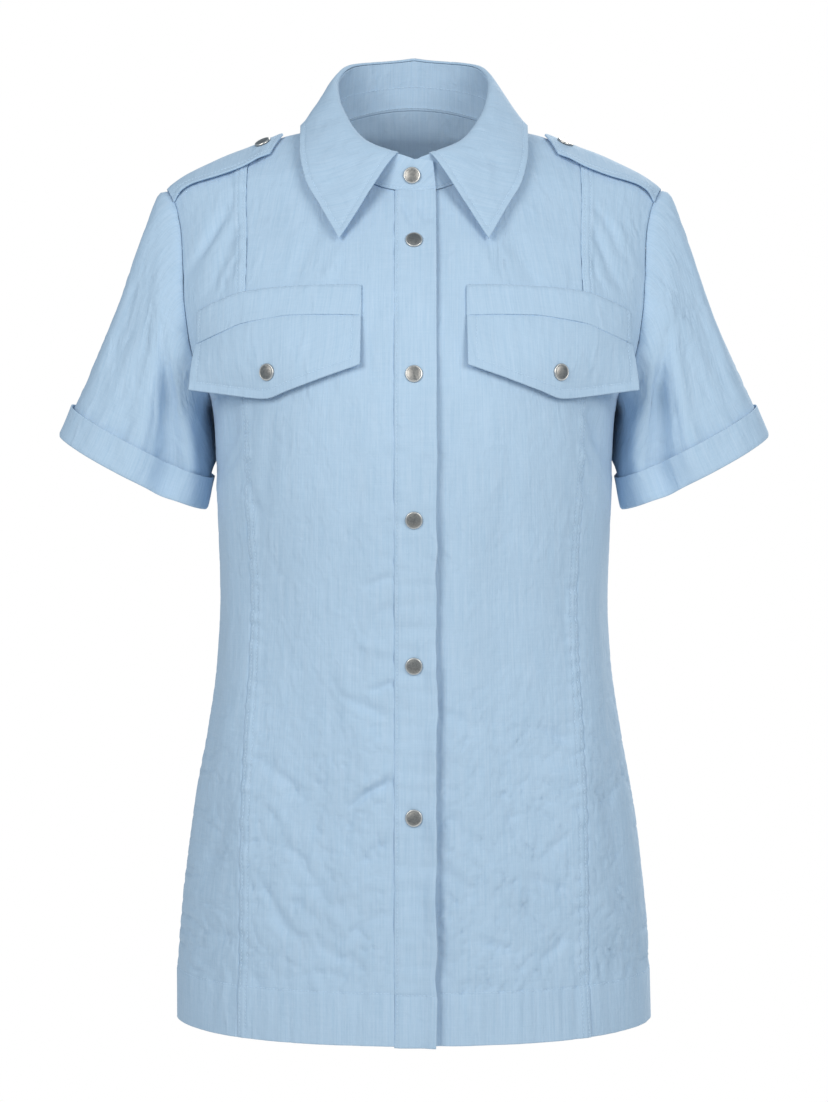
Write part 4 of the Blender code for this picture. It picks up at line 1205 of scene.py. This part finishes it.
collar = {
    "standWidth": 0.0565,
    "standFront": 0.0725,
    "standBack": 0.050,
    "standTop": ((0, -0.0327), (35, -0.0195), (65, 0.0075), (90, 0.0325), (130, 0.0530), (180, 0.0606)),
    "standRound": 0.006,
    "leafStart": math.radians(11.4),
    "leafClear": 0.0004,
    # over, rise, belly and crown of the roll, front then back
    "roll": ((0.0050, 0.0025), (0.0052, 0.0105), (0.0025, -0.0020), (0.0000, 0.0030)),
    # turn, then the leaf's edge in x, y and z
    "leafEdge": (
        (11.4, 0.0535, -0.0970, -0.0928),
        (32, 0.0675, -0.0790, -0.0672),
        (50, 0.0790, -0.0630, -0.0455),
        (68, 0.0838, -0.0400, -0.0203),
        (88, 0.0842, -0.0100, 0.0010),
        (112, 0.0785, 0.0220, 0.0038),
        (145, 0.0535, 0.0570, 0.0070),
        (180, 0.0000, 0.0710, 0.0160),
    ),
    "standCut": (0.440, 0.040, 0.86),
    "leafCut": (0.460, 0.082, 0.68),
    "topstitch": 0.0050,
    "standRow": 0.0020,
    "innerRow": 0.018,  # below the top of the stand, on its inner face
    "standUneven": (0.0004, 0.02, 0.012),
    "leafUneven": (0.0005, 0.03, 0.03),
    "leafCrush": (0.012, 0.04, 0.00025),  # width, height, depth
    "leafPuckers": (0.004, 0.009, 0.00022),
    "creases": (
        # degrees from the front, share up the leaf, width in degrees, depth; one for each hand
        (28, 0.80, 48, 0.35, 4.0, -0.0011),
        (60, 0.90, 74, 0.40, 6.0, -0.0010),
        (330, 0.72, 308, 0.42, 4.0, 0.0010),
        (296, 0.90, 284, 0.45, 5.0, -0.0009),
        (40, 0.55, 24, 0.25, 4.0, 0.0008),
        (340, 0.55, 322, 0.20, 4.0, -0.0009),
    ),
}
standHeight = easedCurve(collar["standTop"], 1)
standFrom = math.asin(opening["underEdge"] / neckWidth)
standTo = 2 * math.pi + math.asin(opening["overEdge"] / neckWidth)


def fromFront(turn):
    return math.degrees(math.acos(max(-1, min(1, math.cos(turn)))))


def standLay(turn):
    return (frontPanel["lap"] + 0.00015) * (2 * (turn - standFrom) / (standTo - standFrom) - 1)


def standTopPoint(turn):
    deep = collar["standFront" if math.cos(turn) > 0 else "standBack"]
    height = float(standHeight(fromFront(turn)))
    return np.array((collar["standWidth"] * math.sin(turn), -deep * math.cos(turn), height))


def standGrid(columns=176, rows=16):
    grid = np.zeros((rows + 1, columns + 1, 3))
    for c, turn in enumerate(np.linspace(standFrom, standTo, columns + 1)):
        low, high = necklinePoint(turn), standTopPoint(turn)
        out = np.array((math.sin(turn), -math.cos(turn), 0))
        up = (high - low) / np.linalg.norm(high - low)
        low = low + up * 0.0003
        near = 1 - min(1, min(c, columns - c) / 8)
        for r in range(rows + 1):
            grid[r, c] = low + (high - low) * (r / rows) + out * standLay(turn)
            grid[r, c] -= up * collar["standRound"] * near**2 * (r / rows)
    return grid


def leafGrid(columns=180, rows=44):
    edge = [easedCurve(collar["leafEdge"], i) for i in (1, 2, 3)]
    grid = np.zeros((rows + 1, columns + 1, 3))
    start = collar["leafStart"]
    for c, turn in enumerate(np.linspace(start, 2 * math.pi - start, columns + 1)):
        place = fromFront(turn)
        hand = 1 if math.sin(turn) >= 0 else -1
        out = np.array((math.sin(turn), -math.cos(turn), 0))
        up = np.array((0, 0, 1))
        begin = standTopPoint(turn) + out * standLay(turn) + up * collar["leafClear"]
        end = np.array([float(read(place)) for read in edge]) * (hand, 1, 1)
        rear = float(softStep(20, 110, place))
        over, rise, belly, crown = [front + (back - front) * rear for front, back in collar["roll"]]
        last = end + (begin - end) * 0.42 + out * belly + up * crown
        grid[:, c] = bezier(begin, begin + up * rise + out * over, last, end, rows)[::-1]
    return grid


standRow = collar["standRow"]
cloth = asCloth(standGrid(), plain, plain, (*plain, standRow, 0.0027), plain, fineCloth["smallStep"])
u, v = cloth["fromLeft"], cloth["fromHem"]
cloth["moved"] += groove(v, (standRow,), 0.0004) + uneven(u, v, collar["standUneven"], 91)
cloth["moved"] -= groove(cloth["fromTop"], (collar["innerRow"],), 0.0004)
sewnTo = ["left_front", "right_front", "back"]
clothPiece("collar_stand", cloth, "double", collar["standCut"], "stretched", sewnTo)
stitchRows("collar_stand_stitching", [
    sewnLine(cloth, "Hem", standRow, 0.001, 0.001),
    sewnLine(cloth, "Hem", standRow, 0.001, 0.001, inner=True),
    sewnLine(cloth, "Top", collar["innerRow"], 0.030, 0.030, inner=True),
])

leafLines = (0.0, 0.0007, 0.0018, 0.0040, 0.0050, 0.0060)
cloth = asCloth(leafGrid(), leafLines, leafLines, leafLines, plain, fineCloth["step"])
u, v = cloth["fromLeft"], cloth["fromHem"]
degrees = u / u[:, -1:] * 337 + 11.4
inset = np.minimum(nearestSide(cloth), v)
cloth["moved"] += groove(inset, (collar["topstitch"],), 0.0005, 0.0009)
cloth["moved"] += creaseDepth(collar["creases"], degrees, v / v[-1:], reach=60.0)
cloth["moved"] += uneven(u, v, collar["leafUneven"], 95) + crushed(u, v, *collar["leafCrush"], 96, 0.3)
cloth["moved"] += puckers(np.abs(inset - collar["topstitch"]), u + v, *collar["leafPuckers"], 97)
clothPiece("collar_leaf", cloth, "double", collar["leafCut"], "folded", ["collar_stand"])
stitchRows("collar_leaf_stitching", edgeRows(cloth, collar["topstitch"], 0.005))
print("collar made")


# chest pockets and epaulettes

# the caps' sizes and places come first, since the flaps are dented under them
snapCap = {
    "radius": 0.00625,
    "height": 0.0024,
    # share of the radius, share of the height, how much paler it is painted there (partly rubbed wear,
    # partly painted highlight): a low dome inside a rolled rim
    "profile": (
        (0.00, 0.90, 0.0), (0.20, 0.89, 0.0), (0.40, 0.86, 0.0), (0.58, 0.80, 0.0),
        (0.72, 0.73, 0.1), (0.80, 0.69, 0.2), (0.84, 0.70, 0.6), (0.88, 0.74, 1.0),
        (0.92, 0.72, 1.0), (0.965, 0.60, 0.8), (0.995, 0.42, 0.4), (1.00, 0.28, 0.2),
        (0.98, 0.14, 0.0), (0.93, 0.05, 0.0), (0.80, 0.00, 0.0), (0.0, 0.00, 0.0),
    ),
    "around": 48,
    "press": 0.0001,  # into the cloth
    "feel": 0.004,  # how far round it the cloth's slope is taken
    # x and z in front, x and y on the shoulder
    "stand": (-0.0015, -0.0450),
    "flap": (0.1035, -0.1895),
    "epaulette": (0.1125, -0.0115),
}

pocket = {
    # x, then the heights of the band's top, the seam and the flap's free edge
    "rows": (
        (0.0370, -0.1280, -0.1506, -0.1867),
        (0.0610, -0.1278, -0.1498, -0.1945),
        (0.0850, -0.1281, -0.1495, -0.2025),
        (0.1020, -0.1288, -0.1512, -0.2084),
        (0.1222, -0.1308, -0.1541, -0.2065),
        (0.1386, -0.1355, -0.1600, -0.2040),
        (0.1560, -0.1425, -0.1658, -0.2015),
    ),
    "spread": 0.004,
    "flapLift": 0.0035,
    "leaves": 0.098,  # x where the flap's point leaves the chest
    "turnsAt": 0.93,  # share of the half width past which it lies straight
    "ease": 0.0008,
    "standOff": 0.0019,
    "flapCut": (0.136, 0.058, 0.86),
    "bandCut": (0.134, 0.025, 0.93),
    "topstitch": 0.0065,
    "bandRow": 0.0050,
    "flapLines": (0.0, 0.0007, 0.0018, 0.0055, 0.0065, 0.0075),
    "snapDent": (0.0006, 0.009),  # depth, width
    "bandUneven": (0.00025, 0.015, 0.02),
    "bandCrush": (0.009, 0.03, 0.00022),
    "flapUneven": (0.0005, 0.035, 0.04),
    "flapCrush": (0.009, 0.04, 0.00024),
    "flapPuckers": (0.005, 0.008, 0.0002),
}


def hungY(x, z, leaves):
    # on the chest, or past leaves on a flat flap that goes straight on from there
    start = min(x, leaves, pocket["turnsAt"] * float(halfWidth(z)))
    y = float(bodyY(-1, start, z))
    slope = (y - float(bodyY(-1, start - 0.001, z))) / 0.001
    return y + slope * (x - start)


def pocketGrid(upper, lower, liftTop, liftBottom, rows, columns=60):
    high, low = easedCurve(pocket["rows"], upper), easedCurve(pocket["rows"], lower)
    inner, outer = pocket["rows"][0][0], pocket["rows"][-1][0]
    grid = np.zeros((rows + 1, columns + 1, 3))
    for c in range(columns + 1):
        share = c / columns
        x = inner + (outer - inner) * share
        for r in range(rows + 1):
            up = r / rows
            z = float(low(x)) + (float(high(x)) - float(low(x))) * up
            spread = pocket["spread"] * share**3 * (1 - up) * (liftBottom > liftTop)
            leaves = outer - (outer - pocket["leaves"]) * (1 - up) ** 0.7 * (liftBottom > liftTop)
            grid[r, c] = (x + spread, hungY(x + spread, z, leaves), z)
    lift = liftBottom + (liftTop - liftBottom) * np.linspace(0, 1, rows + 1)[:, None]
    lift = lift + pocket["ease"] * np.linspace(0, 1, columns + 1) ** 2
    return grid + facing(grid) * lift[..., None]


epaulette = {
    "middle": -0.008,
    "half": 0.0205,
    "frontLift": (0.0018, 0.008),  # how far the front edge stands up, and how far in
    "lift": (0.0017, 0.0014),  # off the shoulder, and more at the point
    "swell": 0.027,
    "taper": 0.032,
    "pointX": 0.0965,
    "shoulderX": 0.1055,
    "cut": (0.101, 0.042, 0.86),
    "topstitch": 0.0050,
    "uneven": (0.0004, 0.03, 0.02),
    "short": 0.0004,  # of the armhole seam
}


def epauletteGrid(rows=22, columns=50):
    # the wearer's left one, from its pointed end out to the armhole
    grid = np.zeros((rows + 1, columns + 1, 3))
    for r in range(rows + 1):
        across = 2 * r / rows - 1
        for c in range(columns + 1):
            share = c / columns
            half = epaulette["half"] + epaulette["swell"] * share - epaulette["taper"] * share**2
            y = epaulette["middle"] * (1 - share) + half * across
            point = epaulette["pointX"] + (epaulette["shoulderX"] - epaulette["pointX"]) * abs(across)
            turn = narrowed(lambda b: abs(armholePoint(b if y < 0 else -b)[1]) < abs(y), 0, 1.4, 24)
            last = armholePoint(turn if y < 0 else -turn)[0] - epaulette["short"]
            x = point + (last - point) * share
            grid[r, c] = (x, y, bodyZ(x, y))
    out = facing(grid)
    even, more = epaulette["lift"]
    lift = even + more * (1 - softStep(0, 0.35, np.linspace(0, 1, columns + 1)))
    return grid + out * np.sign(out[..., 2:3]) * lift[None, :, None]


bandGrid = pocketGrid(1, 2, pocket["standOff"], pocket["standOff"], 14)
flapGrid = pocketGrid(2, 3, pocket["standOff"], pocket["standOff"] + pocket["flapLift"], 28)
flapGrid[-1] = bandGrid[0] - np.array((0, 0, 0.0001))
tabGrid = epauletteGrid()
for hand, sign, inner, outer in hands:
    seed = 120 if sign > 0 else 130
    cloth = asCloth(forHand(bandGrid, sign), leafLines, leafLines, plain, plain, fineCloth["smallStep"])
    u, v, moved = cloth["fromLeft"], cloth["fromHem"], cloth["moved"]
    moved += uneven(u, v, pocket["bandUneven"], seed) + crushed(u, v, *pocket["bandCrush"], seed + 1)
    moved += groove(cloth["from" + outer], (pocket["bandRow"],), 0.0004)
    moved -= 0.0010 * bell(nearestSide(cloth), 0.0012)
    moved -= 0.0012 * bell(cloth["fromTop"], 0.0012)
    clothPiece(f"{hand}_pocket_band", cloth, "double", pocket["bandCut"], "hung", [f"{hand}_front"])
    stitchRows(f"{hand}_pocket_band_stitching", [sewnLine(cloth, outer, pocket["bandRow"], 0.001, 0.001)])

    lines = pocket["flapLines"]
    cloth = asCloth(forHand(flapGrid, sign), lines, lines, lines, plain, fineCloth["smallStep"])
    u, v, moved = cloth["fromLeft"], cloth["fromHem"], cloth["moved"]
    inset = np.minimum(nearestSide(cloth), v)
    moved += uneven(u, v, pocket["flapUneven"], seed + 3) + crushed(u, v, *pocket["flapCrush"], seed + 4)
    moved += groove(inset, (pocket["topstitch"],), 0.0004)
    moved += puckers(np.abs(inset - pocket["topstitch"]), u + v, *pocket["flapPuckers"], seed + 5)
    moved -= 0.0005 * bell(cloth["fromTop"], 0.0010)
    (snapX, snapZ), (dent, dentWide) = snapCap["flap"], pocket["snapDent"]
    away = np.hypot(np.abs(cloth["points"][..., 0]) - snapX, cloth["points"][..., 2] - snapZ)
    moved -= dent * bell(away, dentWide)
    clothPiece(f"{hand}_pocket_flap", cloth, "double", pocket["flapCut"], "hung", [f"{hand}_pocket_band"])
    stitchRows(f"{hand}_pocket_flap_stitching", edgeRows(cloth, pocket["topstitch"], pocket["topstitch"]))

    ends = (leafLines, plain)[::sign]
    cloth = asCloth(forHand(tabGrid, sign), *ends, leafLines, leafLines, fineCloth["smallStep"])
    u, v, moved = cloth["fromLeft"], cloth["fromHem"], cloth["moved"]
    row = epaulette["topstitch"]
    moved += groove(np.minimum(np.minimum(v, cloth["fromTop"]), cloth["from" + inner]), (row,), 0.0004)
    moved += uneven(u, v, epaulette["uneven"], seed + 7)
    lift, reach = epaulette["frontLift"]
    moved += lift * bell(v, reach) * softStep(0, 0.012, u) * softStep(0, 0.012, cloth["fromRight"])
    sewnTo = [f"{hand}_side_front", "back"]
    clothPiece(f"{hand}_epaulette", cloth, "double", epaulette["cut"], "laid", sewnTo)
    rows = [sewnLine(cloth, edge, row, 0.001, 0.001) for edge in ("Hem", "Top")]
    stitchRows(f"{hand}_epaulette_stitching", rows + [sewnLine(cloth, inner, row, 0.005, 0.005)])
print("pockets and epaulettes made")


# snap caps

def snapCapPiece(name, cloth, start, direction):
    # a turned cap seated where a line from start meets the shown cloth
    points = cloth["shown"]
    start, direction = Vector(start), Vector(direction)
    cells = gridFaces(*points.shape[:2]).tolist()
    tree = BVHTree.FromPolygons([Vector(p) for p in points.reshape(-1, 3)], cells)
    hit, normal, _, _ = tree.ray_cast(start, direction)
    if direction[1]:
        # in front it lies on the mean of the creased cloth round it
        for right, up in ((1, 1), (-1, 1), (1, -1), (-1, -1)):
            beside = Vector((right * snapCap["feel"], 0, up * snapCap["feel"]))
            _, slope, _, _ = tree.ray_cast(start + beside, direction)
            if slope is not None:
                normal = normal + slope * (1 if slope.dot(normal) > 0 else -1)
    normal.normalize()
    if normal.dot(direction) > 0:
        normal.negate()
    base = hit + normal * (cloth["thickness"] / 2 - snapCap["press"])
    turn = np.array(normal.to_track_quat("Z", "Y").to_matrix())
    around, radius, height = snapCap["around"], snapCap["radius"], snapCap["height"]
    profile = np.array(snapCap["profile"])
    circle = [(math.cos(s), math.sin(s)) for s in np.arange(around) * 2 * math.pi / around]
    verts, wornAndHighlit = [(0, 0, profile[0, 1] * height)], [0.0]
    for share, high, wearAndHighlight in profile[1:-1]:
        verts += [(c * share * radius, s * share * radius, high * height) for c, s in circle]
        wornAndHighlit += [wearAndHighlight] * around
    verts.append((0, 0, 0))
    wornAndHighlit.append(0.0)
    verts = np.array(verts) @ turn.T + np.array(base)
    rings = len(profile) - 2
    pairs = [(k, (k + 1) % around) for k in range(around)]
    faces = [(0, 1 + k, 1 + beyond) for k, beyond in pairs]
    for r in range(rings - 1):
        a, b = 1 + r * around, 1 + (r + 1) * around
        faces += [(a + k, b + k, b + beyond, a + beyond) for k, beyond in pairs]
    last = 1 + (rings - 1) * around
    faces += [(last + k, len(verts) - 1, last + beyond) for k, beyond in pairs]
    piece = newObject(f"{name}_cap", verts, faces, nickel)
    # for each point, how much paler the rim is painted: rubbed wear and painted highlight
    piece.data.attributes.new("rim", "FLOAT", "POINT").data.foreach_set("value", np.array(wornAndHighlit, np.float32))
    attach(piece, "root")
    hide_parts(name)


inward, downward = (0, 1, 0), (0, 0, -1)
for i, snapZ in enumerate(placket["snaps"]):
    snapCapPiece(f"front_snap_{i + 2}", made["right_placket"]["cloth"], (0, -0.3, snapZ), inward)
standX, standZ = snapCap["stand"]
standEnd = dict(made["collar_stand"]["cloth"])
standEnd["shown"] = standEnd["shown"][:, -40:]  # the end on top
snapCapPiece("front_snap_1", standEnd, (standX, -0.3, standZ), inward)
for hand, sign, inner, outer in hands:
    flapX, flapZ = snapCap["flap"]
    before = (sign * flapX, -0.3, flapZ)
    snapCapPiece(f"{hand}_flap_snap", made[f"{hand}_pocket_flap"]["cloth"], before, inward)
    tabX, tabY = snapCap["epaulette"]
    above = (sign * tabX, tabY, 0.3)
    snapCapPiece(f"{hand}_epaulette_snap", made[f"{hand}_epaulette"]["cloth"], above, downward)
print("snap caps made")

for name, piece in made.items():
    width, length, filled = piece["cut"]


# camera, light and floor

studio = {
    "cameraPlace": (0.0, -2.0, -0.316),
    "lens": 58.08,
    "sensorHeight": 24,
    "floorZ": -1.40,
    "floorRadius": 2.6,
    "floorSides": 96,
    "sky": "#E0F2FF",  # a cool room
    "skyStrength": 0.392,
    "lamps": "#FFF9EE",  # a little warmer than the room
    # place, aim, size, power
    "key": ((-0.92, -1.42, 0.36), (0.0, -0.05, -0.16), 0.9, 14.3),
    "fill": ((0.98, -1.38, 0.30), (0.0, -0.05, -0.16), 0.9, 13.0),
    "rear": ((0.9, 2.2, 1.3), (0.0, 0.0, -0.30), 1.6, 56),
}
camera = bpy.data.objects.new("camera", bpy.data.cameras.new("camera"))
camera.location = studio["cameraPlace"]
camera.rotation_euler = (math.radians(90), 0, 0)
camera.data.sensor_fit = "VERTICAL"
camera.data.sensor_height = studio["sensorHeight"]
camera.data.lens = studio["lens"]
camera.data.clip_end = 50
bpy.context.scene.collection.objects.link(camera)
bpy.context.scene.camera = camera
for name in ("key", "fill", "rear"):
    place, aim, size, power = studio[name]
    lamp = bpy.data.lights.new(name, "AREA")
    lamp.shape = "DISK"
    lamp.size = size
    lamp.energy = power
    lamp.color = linear(studio["lamps"])[:3]
    holder = bpy.data.objects.new(name, lamp)
    holder.location = place
    holder.rotation_euler = (Vector(aim) - Vector(place)).to_track_quat("-Z", "Y").to_euler()
    bpy.context.scene.collection.objects.link(holder)

world = bpy.data.worlds.new("studio")
bpy.context.scene.world = world
world.use_nodes = True
sky = world.node_tree
sky.nodes.clear()
seen = addNode(sky, "LightPath").outputs["Is Camera Ray"]
lit = addNode(sky, "Background", {"Color": linear(studio["sky"]), "Strength": studio["skyStrength"]})
plainWhite = addNode(sky, "Background", {"Color": (1, 1, 1, 1), "Strength": 1.0})
mixed = addNode(sky, "MixShader", links={0: seen, 1: lit.outputs[0], 2: plainWhite.outputs[0]})
addNode(sky, "OutputWorld", links={"Surface": mixed.outputs[0]})
bpy.context.scene.view_settings.view_transform = "Standard"

# painted studio floor, matt and nearly white
floorPaint, tree, shader = newMaterial("painted_studio_floor")
grain = addNode(tree, "TexNoise", {"Scale": 40.0, "Detail": 3.0})
ramp = twoColours(tree, grain.outputs["Fac"], "#F6F2EE", "#FCF9F5")
tree.links.new(ramp.outputs[0], shader.inputs["Base Color"])
shader.inputs["Roughness"].default_value = 0.7
sides, radius = studio["floorSides"], studio["floorRadius"]
spokes = np.arange(sides) * 2 * math.pi / sides
edge = [(radius * math.cos(s), radius * math.sin(s), studio["floorZ"]) for s in spokes]
mesh = bpy.data.meshes.new("studio_floor")
mesh.from_pydata(edge, [], [tuple(range(sides))])
mesh.materials.append(floorPaint)
floor = bpy.data.objects.new("studio_floor", mesh)
bpy.context.scene.collection.objects.link(floor)
print("camera, light and floor set")
